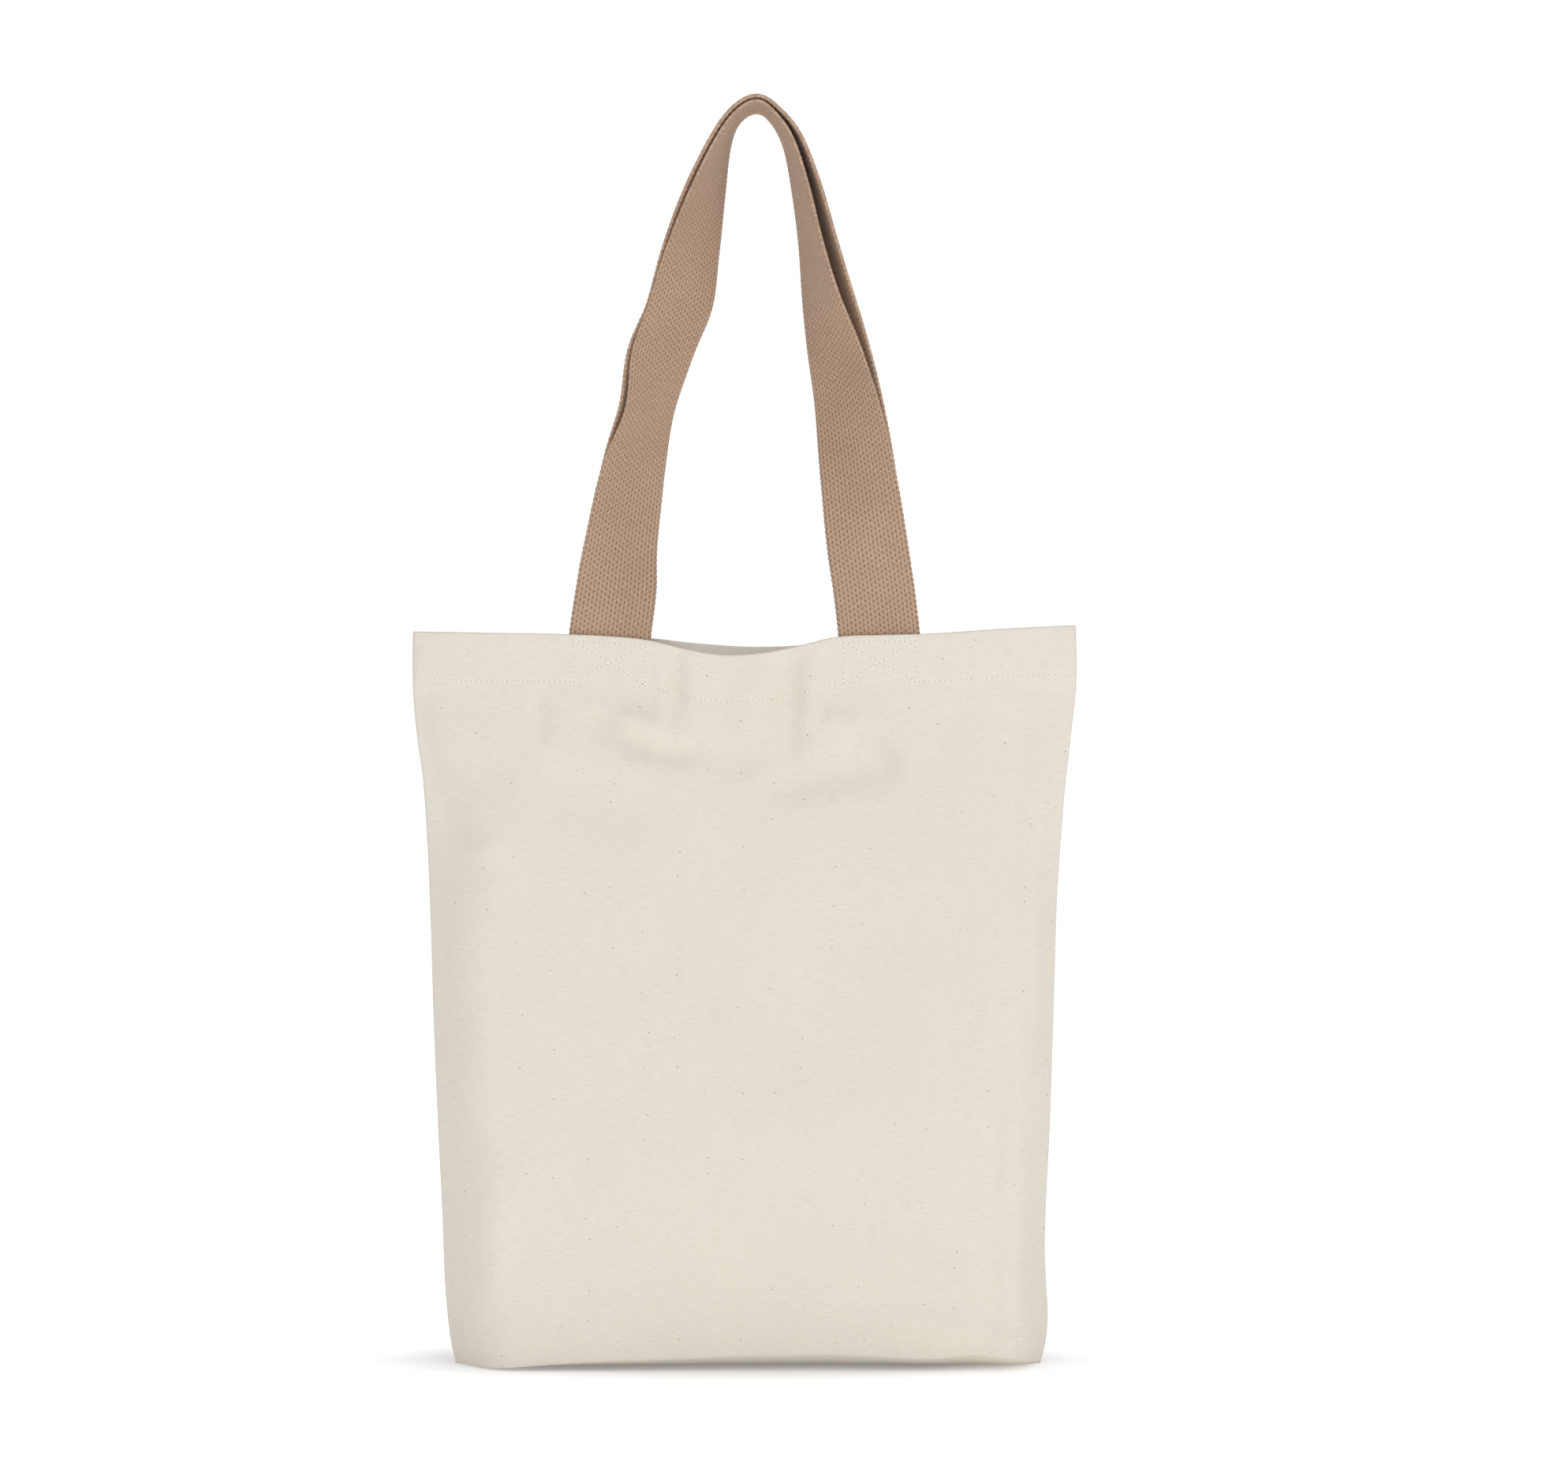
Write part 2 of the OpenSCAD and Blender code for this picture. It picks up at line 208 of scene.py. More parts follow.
def linear(hex_colour: str) -> tuple[float, float, float, float]:
    """Turns an sRGB hex colour into linear values.

    Args:
        hex_colour: Six hex digits after a #.

    Returns:
        Linear red, green, blue and an alpha of one.
    """
    srgb = [int(hex_colour[i : i + 2], 16) / 255 for i in (1, 3, 5)]
    values = [c / 12.92 if c <= 0.04045 else ((c + 0.055) / 1.055) ** 2.4 for c in srgb]
    return (*values, 1.0)


def add(
    tree: bpy.types.NodeTree, kind: str, inputs: dict[Any, Any], output: Any = 0, **settings: Any
) -> bpy.types.NodeSocket:
    """Adds a node with its settings, values and links.

    Args:
        tree: Node tree that gets the node.
        kind: Name of the node, after ShaderNode.
        inputs: A value or another node's output for each named or numbered input.
        output: Name or number of the output that is wanted.
        settings: Properties of the node.

    Returns:
        The output, or None where the node has none.
    """
    node = tree.nodes.new(f"ShaderNode{kind}")
    for name, value in settings.items():
        setattr(node, name, value)
    for name, value in inputs.items():
        if isinstance(value, bpy.types.NodeSocket):
            tree.links.new(value, node.inputs[name])
        else:
            node.inputs[name].default_value = value
    return node.outputs[output] if node.outputs else None


# Numbers of the Mix node's sockets: factor, first and second colour, result.
FACTOR, FIRST, SECOND, MIXED = 0, 6, 7, 2
EASE = {"interpolation_type": "SMOOTHSTEP"}
RGBA = {"data_type": "RGBA"}
TINT = {**RGBA, "blend_type": "MULTIPLY"}
# A band of the wave texture is this wide at a scale of one.
WAVE_BAND = 0.31416


class Finish:
    """A material under construction: each finish paints its own colour and relief on it."""

    name: str
    roughness: float
    ior: float
    specular: float
    sheen: float

    def paint(self, put: Callable[..., Any]) -> dict[str, Any]:
        """Adds the nodes of the finish and returns what goes into the shader's sockets."""
        raise NotImplementedError

    def make(self) -> bpy.types.Material:
        """Builds the material.

        Returns:
            The material, with the finish's own sockets and its uniform values on one shader.
        """
        material = bpy.data.materials.new(self.name)
        material.use_nodes = True
        tree = material.node_tree
        tree.nodes.clear()
        put = partial(add, tree)
        sockets = {
            "Roughness": self.roughness,
            "IOR": self.ior,
            "Specular IOR Level": self.specular,
            "Sheen Weight": self.sheen,
            **self.paint(put),
        }
        put("OutputMaterial", {"Surface": put("BsdfPrincipled", sockets)})
        return material


@dataclass(frozen=True)
class CanvasFinish(Finish):
    """Unbleached cotton canvas, plain woven from uneven yarn.

    The yarns' thick places (slubs) show as fine pale streaks across the bag, bits of seed
    husk as rare brown specks, and the cloth's broad tone varies a little.
    """

    name: str = "unbleached_cotton_canvas"
    yarn: str = "#dfd8cc"
    slub: str = "#e4ddd3"
    gap: str = "#d7cfc3"
    husk: str = "#8d7659"
    # The real yarns lie 0.5 mm apart; they are drawn at 0.9 mm so that the weave shows.
    yarn_pitch: float = 0.9
    slub_length: float = 7.0
    slub_height: float = 0.6
    tone_size: tuple = (55.0, 40.0)
    husk_spacing: float = 19.0
    husk_size: float = 0.5
    roughness: float = 0.9
    ior: float = 1.53
    specular: float = 0.25
    sheen: float = 0.12

    def paint(self, put: Callable[..., Any]) -> dict[str, Any]:
        """Paints streaks, specks and the weave on the cloth's own flat places.

        Args:
            put: Adds a node to the material and gives its output.

        Returns:
            A value or an output for each of the shader's own sockets.
        """
        place = put("UVMap", {}, "UV", uv_map="cloth")

        # Noise with cells of a size in millimetres across and up, and its detail.
        layers = []
        for across, up, detail in (
            (self.slub_length, self.slub_height, 3.0),
            (self.slub_height, 0.7 * self.slub_length, 2.0),
            (*self.tone_size, 2.0),
        ):
            cells = put("Mapping", {"Vector": place, "Scale": (1 / (across * MM), 1 / (up * MM), 1)})
            noise = {"Vector": cells, "Scale": 1.0, "Detail": detail, "Roughness": 0.6}
            layers.append(put("TexNoise", noise, "Fac", noise_dimensions="2D"))
        slubs, uprights, broad = layers
        # Each layer shows where its noise passes from the first value to the second.
        colour = linear(self.yarn)
        for noise, ends, shade in (
            (slubs, (0.5, 0.78), self.slub),
            (slubs, (0.46, 0.25), self.gap),
            (uprights, (0.6, 0.95), self.gap),
        ):
            share = put("MapRange", {"Value": noise, "From Min": ends[0], "From Max": ends[1]}, **EASE)
            colour = put("Mix", {FACTOR: share, FIRST: colour, SECOND: linear(shade)}, MIXED, **RGBA)
        tone = put("MapRange", {"Value": broad, "To Min": 0.975, "To Max": 1.02})
        toned = {FACTOR: 1.0, FIRST: colour, SECOND: tone}
        colour = put("Mix", toned, MIXED, **TINT)

        cells = {"Vector": place, "Scale": 1 / (self.husk_spacing * MM)}
        distance = put("TexVoronoi", cells, "Distance", voronoi_dimensions="2D")
        chance = put("SeparateColor", {"Color": distance.node.outputs["Color"]}, "Red")
        radius = self.husk_size / self.husk_spacing
        near = put("MapRange", {"Value": distance, "From Min": radius, "From Max": 0.4 * radius}, **EASE)
        some = put("MapRange", {"Value": chance, "From Min": 0.55, "From Max": 0.9}, **EASE)
        speck = put("Math", {0: near, 1: some}, operation="MULTIPLY")
        colour = put("Mix", {FACTOR: speck, FIRST: colour, SECOND: linear(self.husk)}, MIXED, **RGBA)

        wave = {"Vector": place, "Scale": WAVE_BAND / (self.yarn_pitch * MM), "Distortion": 0.6, "Detail": 1.0}
        warp, weft = (put("TexWave", wave, "Fac", bands_direction=axis) for axis in ("X", "Y"))
        weave = put("Math", {0: warp, 1: weft}, operation="MULTIPLY")
        relief = put("Math", {0: slubs, 1: 1.6, 2: weave}, operation="MULTIPLY_ADD")
        bump = put("Bump", {"Strength": 0.16, "Distance": 0.2 * MM, "Height": relief})
        return {"Base Color": colour, "Sheen Roughness": 0.5, "Normal": bump}


@dataclass(frozen=True)
class WebbingFinish(Finish):
    """Heavy tan cotton webbing, woven in lengthwise chains with pits between them; the pits' dark colour is painted
    shade.

    Each pit is a short lengthwise dash, set like bricks against its neighbours. Column is
    the width of a chain and its pit, row the length of a pit and the bar after it.
    """

    column: float
    row: float
    name: str = "woven_cotton_webbing"
    chain: str = "#bfa28a"
    strand: str = "#a98c74"
    # Colour of the painted shade in the pits, the hollows between the chains.
    shaded_pit: str = "#6e5744"
    # Cells in a metre: strand fibres of 0.45 by 2.4 mm, worn patches of 42 mm.
    fibres: tuple = (2200, 420, 1)
    patches: float = 24.0
    roughness: float = 0.85
    ior: float = 1.53
    specular: float = 0.25
    sheen: float = 0.15

    def paint(self, put: Callable[..., Any]) -> dict[str, Any]:
        """Paints strands, painted shade in the pits, and wear on the strap's own flat places.

        Args:
            put: Adds a node to the material and gives its output.

        Returns:
            A value or an output for each of the shader's own sockets.
        """
        place = put("UVMap", {}, "UV", uv_map="cloth")
        across = put("SeparateXYZ", {"Vector": place})
        columns = put("Math", {0: across, 1: 1 / (self.column * MM)}, operation="MULTIPLY")
        rows = put("Math", {0: across.node.outputs[1], 1: 1 / (self.row * MM)}, operation="MULTIPLY")
        column = put("Math", {0: columns}, operation="FLOOR")
        staggered = put("Math", {0: column, 1: 0.5, 2: rows}, operation="MULTIPLY_ADD")
        off_chain = put("Math", {0: columns, 1: 0.5}, operation="PINGPONG")
        off_bar = put("Math", {0: staggered, 1: 0.5}, operation="PINGPONG")
        wide = put("MapRange", {"Value": off_chain, "From Min": 0.28, "From Max": 0.44}, **EASE)
        long = put("MapRange", {"Value": off_bar, "From Min": 0.16, "From Max": 0.32}, **EASE)
        shaded_pit = put("Math", {0: wide, 1: long}, operation="MULTIPLY")

        cells = put("Mapping", {"Vector": place, "Scale": self.fibres})
        fibres = put("TexNoise", {"Vector": cells, "Scale": 1.0, "Detail": 2.0}, "Fac", noise_dimensions="2D")
        worn = {"Vector": place, "Scale": self.patches, "Detail": 2.0}
        wear = put("TexNoise", worn, "Fac", noise_dimensions="2D")
        pale = put("MapRange", {"Value": fibres, "From Min": 0.35, "From Max": 0.7}, **EASE)
        strands = {FACTOR: pale, FIRST: linear(self.strand), SECOND: linear(self.chain)}
        colour = put("Mix", strands, MIXED, **RGBA)
        # Painted shade: the pits darken towards the shaded pit colour.
        painted_pit_shade = put("Math", {0: shaded_pit, 1: 0.8}, operation="MULTIPLY")
        colour = put("Mix", {FACTOR: painted_pit_shade, FIRST: colour, SECOND: linear(self.shaded_pit)}, MIXED, **RGBA)
        tone = put("MapRange", {"Value": wear, "To Min": 0.9, "To Max": 1.08})
        toned = {FACTOR: 1.0, FIRST: colour, SECOND: tone}
        colour = put("Mix", toned, MIXED, **TINT)

        fuzz = put("Math", {0: fibres, 1: 0.5}, operation="MULTIPLY")
        relief = put("Math", {0: shaded_pit, 1: -1.0, 2: fuzz}, operation="MULTIPLY_ADD")
        bump = put("Bump", {"Strength": 0.6, "Distance": 0.35 * MM, "Height": relief})
        return {"Base Color": colour, "Sheen Roughness": 0.5, "Normal": bump}


@dataclass(frozen=True)
class ThreadFinish(Finish):
    """Off-white twisted sewing thread, a little paler than the canvas, with painted shade where it enters a needle
    hole.
    """

    pitch: float
    name: str = "twisted_cotton_thread"
    light: str = "#faf6ec"
    painted_pit_shade: str = "#ece5d8"
    # Painted shade of the needle holes, on the ends of each stitch.
    hole_shade: str = "#6f604e"
    twist_pitch: float = 0.7
    roughness: float = 0.7
    ior: float = 1.53
    specular: float = 0.35
    sheen: float = 0.0

    def paint(self, put: Callable[..., Any]) -> dict[str, Any]:
        """Paints the twist and the painted shade at the ends on each stitch's own length.

        Args:
            put: Adds a node to the material and gives its output.

        Returns:
            A value or an output for each of the shader's own sockets.
        """
        place = put("UVMap", {}, "UV", uv_map="cloth")
        wave = {"Vector": place, "Scale": WAVE_BAND / (self.twist_pitch * MM), "Distortion": 0.5}
        twist = put("TexWave", wave, "Fac", bands_direction="DIAGONAL")
        along = put("SeparateXYZ", {"Vector": place}, 1)
        off_end = put("Math", {0: along, 1: 0.5 * self.pitch * MM}, operation="PINGPONG")
        shown = put("MapRange", {"Value": off_end, "From Min": 0.25 * MM, "From Max": 0.5 * MM}, **EASE)
        twisted = {FACTOR: twist, FIRST: linear(self.painted_pit_shade), SECOND: linear(self.light)}
        colour = put("Mix", twisted, MIXED, **RGBA)
        # Painted shade: both ends of each stitch darken to the hole colour.
        colour = put("Mix", {FACTOR: shown, FIRST: linear(self.hole_shade), SECOND: colour}, MIXED, **RGBA)
        bump = put("Bump", {"Strength": 0.4, "Distance": 0.1 * MM, "Height": twist})
        return {"Base Color": colour, "Normal": bump}


@dataclass(frozen=True)
class PaintedGlowFloorFinish(Finish):
    """White floor with a frosted look: matt, faintly mottled, and glowing as painted light, dim next to the bag as a
    painted contact shadow and bright away from it.
    """

    name: str = "floor_with_painted_glow"
    acrylic: str = "#f9f9f9"
    mottle: str = "#f4f4f4"
    # The painted glow rises over this oval, in metres from the middle of the bag; it is wider across. Its dim middle
    # is a painted contact shadow.
    near: float = 0.036
    far: float = 0.11
    oval: tuple = (0.35, 1.0, 1.0)
    # Glow next to the bag, kept low as a painted contact shadow, and glow away from it, painted light.
    painted_glow_near: float = 0.12
    painted_glow_far: float = 0.66
    roughness: float = 0.95
    ior: float = 1.49
    specular: float = 0.1
    sheen: float = 0.0

    def paint(self, put: Callable[..., Any]) -> dict[str, Any]:
        """Paints the mottle, and the painted glow with its painted contact shadow, on places on the floor.

        Args:
            put: Adds a node to the material and gives its output.

        Returns:
            A value or an output for each of the shader's own sockets.
        """
        place = put("TexCoord", {}, "Object")
        patches = put("TexNoise", {"Vector": place, "Scale": 40.0, "Detail": 3.0}, "Fac")
        mottled = {FACTOR: patches, FIRST: linear(self.acrylic), SECOND: linear(self.mottle)}
        away = put("Mapping", {"Vector": place, "Scale": self.oval})
        away = put("VectorMath", {0: away}, "Value", operation="LENGTH")
        ends = {"From Min": self.near, "From Max": self.far, "To Min": self.painted_glow_near, "To Max": self.painted_glow_far}
        return {
            "Base Color": put("Mix", mottled, MIXED, **RGBA),
            # Painted light: the floor glows, least next to the bag, where the low glow paints a contact shadow.
            "Emission Color": (1.0, 1.0, 1.0, 1.0),
            "Emission Strength": put("MapRange", {"Value": away, **ends}, **EASE),
        }


# ---------- The shape of the bag ----------


@dataclass(frozen=True)
class Crease:
    """A soft fold in the cloth along a straight line.

    The cloth rises by height on the line and falls off as a bell of the given breadth
    to each side. Lean makes one side rise and the other sink by that much instead.
    """

    start: tuple[float, float]
    end: tuple[float, float]
    breadth: float
    height: float = 0.0
    lean: float = 0.0

    def rise(self, x: Array, z: Array) -> Array:
        """Rise of the cloth at each place, fading out smoothly past both ends.

        Args:
            x: Places across the panel.
            z: Heights.

        Returns:
            Millimetres outwards.
        """
        ax, az = self.start
        dx, dz = self.end[0] - ax, self.end[1] - az
        length = math.hypot(dx, dz)
        along = ((x - ax) * dx + (z - az) * dz) / (length * length)
        off = ((x - ax) * dz - (z - az) * dx) / length / self.breadth
        fade = 0.3
        window = smooth((along + fade) / (2 * fade)) * smooth((1 + fade - along) / (2 * fade))
        bell = np.exp(-off * off)
        return window * bell * (self.height + 2.3 * self.lean * off)


@dataclass(frozen=True)
class BagShape:
    """Outline, depth and hem of the bag in millimetres."""

    height: float = 417.0
    bottom_half_depth: float = 36.0
    mouth_half_depth: float = 10.0
    cloth: float = 0.8
    hem_z: float = 387.0
    hem_thick: float = 2.4
    fold_radius: float = 3.0
    left_fold: float = 38.0
    right_fold: float = 28.0
    mouth_fold: float = 82.0
    widen_from: float = 0.62
    fold_strength: float = 2.2
    lip_lean: float = 6.0
    # Flat cloth: half its width, where the wall starts, how far the hem tucks under.
    half_cut: float = 190.0
    wall_from: float = 35.0
    tuck: float = 9.0
    # The back is cut from another part of the roll, so its slubs and specks are its own.
    back_cut: float = 700.0
    allowance: float = 10.0
    # The line across a bottom corner: its start, how far it runs and its length.
    corner_start: tuple = (163.0, 2.4)
    corner_run: tuple = (14.6, 28.8)
    corner_length: float = 32.0
    # Half width of the cloth at heights above the floor, on each side.
    left_outline: tuple = (
        (0, 165.5), (12, 168.2), (30, 170.4), (90, 173.4), (135, 175.6), (198, 178.2), (257, 180.0),
        (302, 182.0), (336, 184.6), (354, 187.2), (379, 189.7), (408, 190.2), (425, 189.7),
    )
    right_outline: tuple = (
        (0, 169.6), (10, 172.2), (24, 173.7), (45, 172.9), (62, 172.1), (90, 172.7), (130, 174.7), (193, 176.8),
        (234, 178.0), (261, 178.8), (297, 181.1), (324, 183.4), (352, 186.6), (383, 190.0), (425, 189.6),
    )
    # Rise of the mouth edge above its level at places across.
    front_mouth: tuple = (
        (-190, 2.0), (-150, 1.2), (-101, 0.2), (-77, -0.9), (-54, -3.3), (-36, -7.6), (-15, -11.3), (8, -10.6),
        (30, -6.6), (52, -1.4), (77, -0.2), (101, 0.4), (150, 3.6), (190, 5.6),
    )
    back_mouth: tuple = (
        (-190, 2.0), (-150, 1.2), (-101, 0.2), (-77, -0.6), (-54, -1.6), (-30, -4.2), (10, -6.4),
        (35, -5.2), (54, -1.8), (77, -0.2), (101, 0.4), (150, 3.6), (190, 5.6),
    )
    # Rise of the front and back edges of the bottom above the floor.
    front_foot: tuple = (
        (-168, 0.2), (-146, 1.0), (-120, 3.0), (-100, 4.4), (-42, 6.4), (-2, 8.0), (25, 8.4), (48, 8.8),
        (72, 8.0), (107, 7.0), (134, 9.0), (148, 7.0), (161, 2.8), (172, 0.6),
    )
    back_foot: tuple = (
        (-168, 0.5), (-140, 3.6), (-110, 2.4), (-60, 4.4), (-20, 3.2), (30, 5.2), (75, 4.0), (120, 2.0),
        (146, 2.6), (161, 1.2), (172, 0.4),
    )

    def half_width(self, z: Array, side: Array) -> Array:
        """Half width at heights, on the side given by a sign."""
        left = through(self.left_outline, z)
        right = through(self.right_outline, z)
        return np.where(side < 0, left, right)

    def half_depth(self, z: Array) -> Array:
        """Half depth in the middle: it shrinks as the square of the height up to the hem."""
        share = np.clip(z / self.hem_z, 0.0, 1.0)
        return self.mouth_half_depth + (self.bottom_half_depth - self.mouth_half_depth) * (1 - share * share)

    def side_fold_width(self, z: Array, side: Array) -> Array:
        """Width of the turn towards a side seam: narrow below, wide at the hem."""
        start = self.widen_from * self.hem_z
        low = np.where(side < 0, self.left_fold, self.right_fold)
        return low + (self.mouth_fold - low) * smooth((z - start) / (self.hem_z - start))

    def distance(self, x: Array, z: Array) -> Array:
        """Distance of the outer face from the middle plane, before folds in the cloth.

        From the side seam inwards it is the edge's own thickness, rounded off on its last
        few millimetres, plus a quarter sine wave over the side fold up to the half depth.

        Args:
            x: Places across the bag.
            z: Heights on the level cloth.

        Returns:
            Millimetres from the middle plane.
        """
        inward = np.maximum(self.half_width(z, np.sign(x)) - np.abs(x), 0.0)
        edge = self.cloth + (self.hem_thick - self.cloth) * smooth((z - self.hem_z + 6.0) / 8.0)
        share = np.clip(inward / self.side_fold_width(z, np.sign(x)), 0.0, 1.0)
        rounding = np.sqrt(1 - (1 - np.clip(inward / (1.4 * edge), 0.0, 1.0)) ** 2)
        deep = self.half_depth(z)
        return 0.05 + (edge - 0.05) * rounding + (deep - edge) * np.sin(0.5 * np.pi * share)


# Each row is a start, an end, a breadth, a height and a lean.
FRONT_CREASES = tuple(Crease(*row) for row in (
    # Left side: the facet under the hem and the edge of the side fold below it.
    ((-191, 366), (-148, 292), 15.0, 0.3, -1.1),
    ((-139, 300), (-158, 290), 8.0, 0.7),
    ((-153, 288), (-152, 130), 16.0, 0.4, 0.4),
    ((-129, 114), (-140, 66), 15.0, 0.6, 0.3),
    ((-140, 66), (-153, 14), 14.0, 0.5, 0.2),
    # Right side: the side fold and the lobe at the foot.
    ((166, 366), (163, 240), 12.0, 0.8, -1.0),
    ((164, 240), (162, 150), 12.0, 0.6, -0.8),
    ((154, 165), (152, 20), 12.0, 0.8, -0.9),
    ((74, 31), (146, 17), 12.0, 0.8, 0.4),
    ((146, 17), (170, 8), 8.0, 0.6),
    # Under the mouth, between and below the straps.
    ((-39, 413), (-39, 378), 5.0, -1.9),
    ((-49, 408), (-50, 372), 5.0, 0.8),
    ((25, 414), (26, 350), 7.0, -2.1),
    ((36, 404), (38, 372), 6.0, 0.8),
    ((4, 405), (2, 366), 10.0, 1.1),
    ((-84, 374), (-70, 360), 7.0, -1.4, -0.8),
    ((-70, 360), (-53, 353), 6.5, -1.6, -0.8),
    ((-53, 353), (-30, 360), 7.0, -1.3, -0.7),
    ((-70, 374), (-44, 366), 8.0, 1.5),
    ((-30, 362), (4, 352), 14.0, -1.2),
    ((22, 332), (80, 337), 13.0, -1.6, 0.7),
    ((82, 339), (70, 360), 7.0, -1.3, -0.8),
    ((47, 372), (62, 362), 8.0, 1.4),
    ((-118, 384), (-118, 358), 5.0, -1.0, 0.6),
    ((120, 380), (112, 330), 12.0, -0.8),
    # The slack of the front, very soft.
    ((-110, 330), (-60, 300), 20.0, -1.0, 0.5),
    ((-70, 250), (60, 190), 38.0, -1.2),
    ((-40, 120), (90, 150), 34.0, 1.0),
    ((-90, 70), (-10, 40), 22.0, -0.8),
))
BACK_CREASES = tuple(Crease(*row) for row in (
    ((-184, 374), (-142, 316), 11.0, 1.2, 0.8),
    ((-151, 292), (-149, 150), 13.0, 1.0, 0.7),
    ((-150, 96), (-152, 14), 8.0, 1.4, 0.6),
    ((184, 376), (140, 298), 10.0, 1.3, -0.9),
    ((150, 280), (151, 120), 13.0, 1.0, -0.7),
    ((150, 90), (152, 14), 8.0, 1.3, -0.6),
    ((-28, 412), (-30, 362), 7.0, -1.2),
    ((36, 410), (34, 380), 6.0, -1.0),
    ((6, 406), (4, 360), 10.0, 0.9),
    ((88, 372), (50, 348), 11.0, -0.8, 0.4),
    ((-90, 368), (-52, 340), 12.0, -0.7, -0.4),
    ((60, 240), (-70, 200), 38.0, -1.2),
    ((50, 110), (-80, 150), 34.0, 1.0),
    ((60, 40), (120, 66), 14.0, 1.1, 0.4),
))


class Panel:
    """One canvas panel: half the bottom, a wall and a hem turned twice to the inside."""

    def __init__(self, shape: BagShape, face: Face, creases: tuple[Crease, ...]) -> None:
        """Keeps the shape, the face and the folds of this panel.

        Args:
            shape: Sizes of the bag.
            face: Which panel.
            creases: The folds of its cloth.
        """
        self.shape = shape
        self.face = face
        self.creases = creases
        front = face is Face.FRONT
        self.mouth = shape.front_mouth if front else shape.back_mouth
        self.foot = shape.front_foot if front else shape.back_foot

    def relief(self, x: Array, z: Array) -> Array:
        """Rise of the folds, the hem line and the slack of the cloth above the plain shape.

        Each crease adds its own bell. They fade out at the side seams, at the foot, and
        where the straps lie against the hem. The hem stands a hair proud of the wall, with
        a shallow groove along its stitches. The back lip leans out between the straps.

        Args:
            x: Places across the panel.
            z: Heights on the level cloth.

        Returns:
            Millimetres outwards.
        """
        s = self.shape
        total = s.fold_strength * sum(c.rise(x, z) for c in self.creases)
        total = total + 0.35 * np.sin(x / 23 + z / 61 + 1.3) * np.sin(z / 37 - x / 90)
        inward = s.half_width(z, np.sign(x)) - np.abs(x)
        total = total * smooth(inward / 14.0) * smooth(z / 14.0)
        strap = smooth((z - 371) / 12.0) * smooth((np.abs(x) - 46) / 7.0) * smooth((110 - np.abs(x)) / 7.0)
        total = total * (1 - strap)
        line = z - (s.hem_z + 2.6)
        hem = 0.25 * smooth((line + 3) / 4.0) - 0.3 * np.exp(-((line / 1.5) ** 2))
        total = total + hem * smooth(inward / 8.0)
        if self.face is Face.BACK:
            lip = smooth((z - s.hem_z - 14) / 16.0) * smooth((56 - np.abs(x - 4)) / 26.0)
            total = total + s.lip_lean * lip
        return total

    def level(self, x: Array, z: Array) -> Array:
        """Height of the cloth: the mouth and the foot move it up or down near them."""
        top = through(self.mouth, x) * smooth((z / self.shape.height - 0.55) / 0.45)
        low = through(self.foot, x) * np.clip(1 - z / 90.0, 0.0, 1.0) ** 2
        return z + top + low

    def wall(self, u: Array, z: Array, depth: Array) -> Array:
        """Points of the wall and the hem.

        Args:
            u: Share of the half width, from -1 at the left seam to 1 at the right one.
            z: Heights on the level cloth.
            depth: Millimetres behind the outer face.

        Returns:
            Points in millimetres.
        """
        s = self.shape
        x = u * (s.half_width(z, np.sign(u)) - depth)
        out = s.distance(x, z) + self.relief(x, z) - depth
        y = self.face.value * np.maximum(out, 0.05)
        return np.stack([x, y, self.level(x, z)], axis=-1)

    def on_wall(self, x: Array, z: Array, depth: float = 0.0) -> Array:
        """Points of the outer face, or of a face behind it, at places across and heights."""
        half = self.shape.half_width(z, np.sign(x)) - depth
        return self.wall(np.clip(x / half, -1.0, 1.0), z, np.full_like(x, depth))

    def bottom(self, u: Array, share: Array) -> Array:
        """Points of the half bottom.

        The middle seam lies on the floor; towards the front edge the cloth rises as the
        square of the share of the way.

        Args:
            u: Share of the half width of the foot.
            share: Way from the middle seam to the front or back edge.

        Returns:
            Points in millimetres.
        """
        s = self.shape
        x = u * s.half_width(np.zeros_like(u), np.sign(u))
        deep = np.maximum(s.distance(x, np.zeros_like(x)) - s.fold_radius, 0.05)
        y = self.face.value * np.maximum(share * deep, 0.05)
        return np.stack([x, y, through(self.foot, x) * share * share], axis=-1)

    def fold(self, u: Array, angle: Array) -> Array:
        """Points of the rounded fold between the bottom and the wall.

        A quarter circle of the fold radius, whose height is added to the foot's own and
        which fades out at the side seams.

        Args:
            u: Share of the half width.
            angle: Turn from the bottom, 0, to the wall, a quarter turn.

        Returns:
            Points in millimetres.
        """
        s = self.shape
        z = s.fold_radius * (1 - np.cos(angle))
        x = u * s.half_width(z, np.sign(u))
        fade = np.clip((1 - np.abs(u)) / 0.08, 0.0, 1.0)
        out = s.distance(x, z) - s.fold_radius * (1 - np.sin(angle)) * fade
        y = self.face.value * np.maximum(out, 0.05)
        return np.stack([x, y, self.level(x, z)], axis=-1)

    def build(self) -> bpy.types.Object:
        """Builds the panel's cloth with its allowances.

        The rows run from the middle seam of the bottom up the wall, round the mouth, down
        the inner layer of the hem and under it. The columns crowd towards the side seams.

        Returns:
            The finished object.
        """
        s = self.shape
        steps = np.linspace(-1, 1, 171)
        u = 0.35 * steps + 0.65 * np.sin(0.5 * np.pi * steps)
        turned = s.hem_thick / 2
        lap = s.cloth

        crown, tucked = s.height - turned, s.hem_z + lap
        share = np.linspace(0, 1, 13)
        corner = np.linspace(0, 0.5 * np.pi, 7)[1:-1]
        wall = np.linspace(s.fold_radius, crown, 190)
        over = np.linspace(0, np.pi, 9)[1:-1]
        down = np.linspace(crown, tucked, 13)
        round_ = np.linspace(0, np.pi, 7)[1:-1]
        under = tucked + np.linspace(0, s.tuck, 4)
        start = s.wall_from
        bottom = s.bottom_half_depth - s.fold_radius
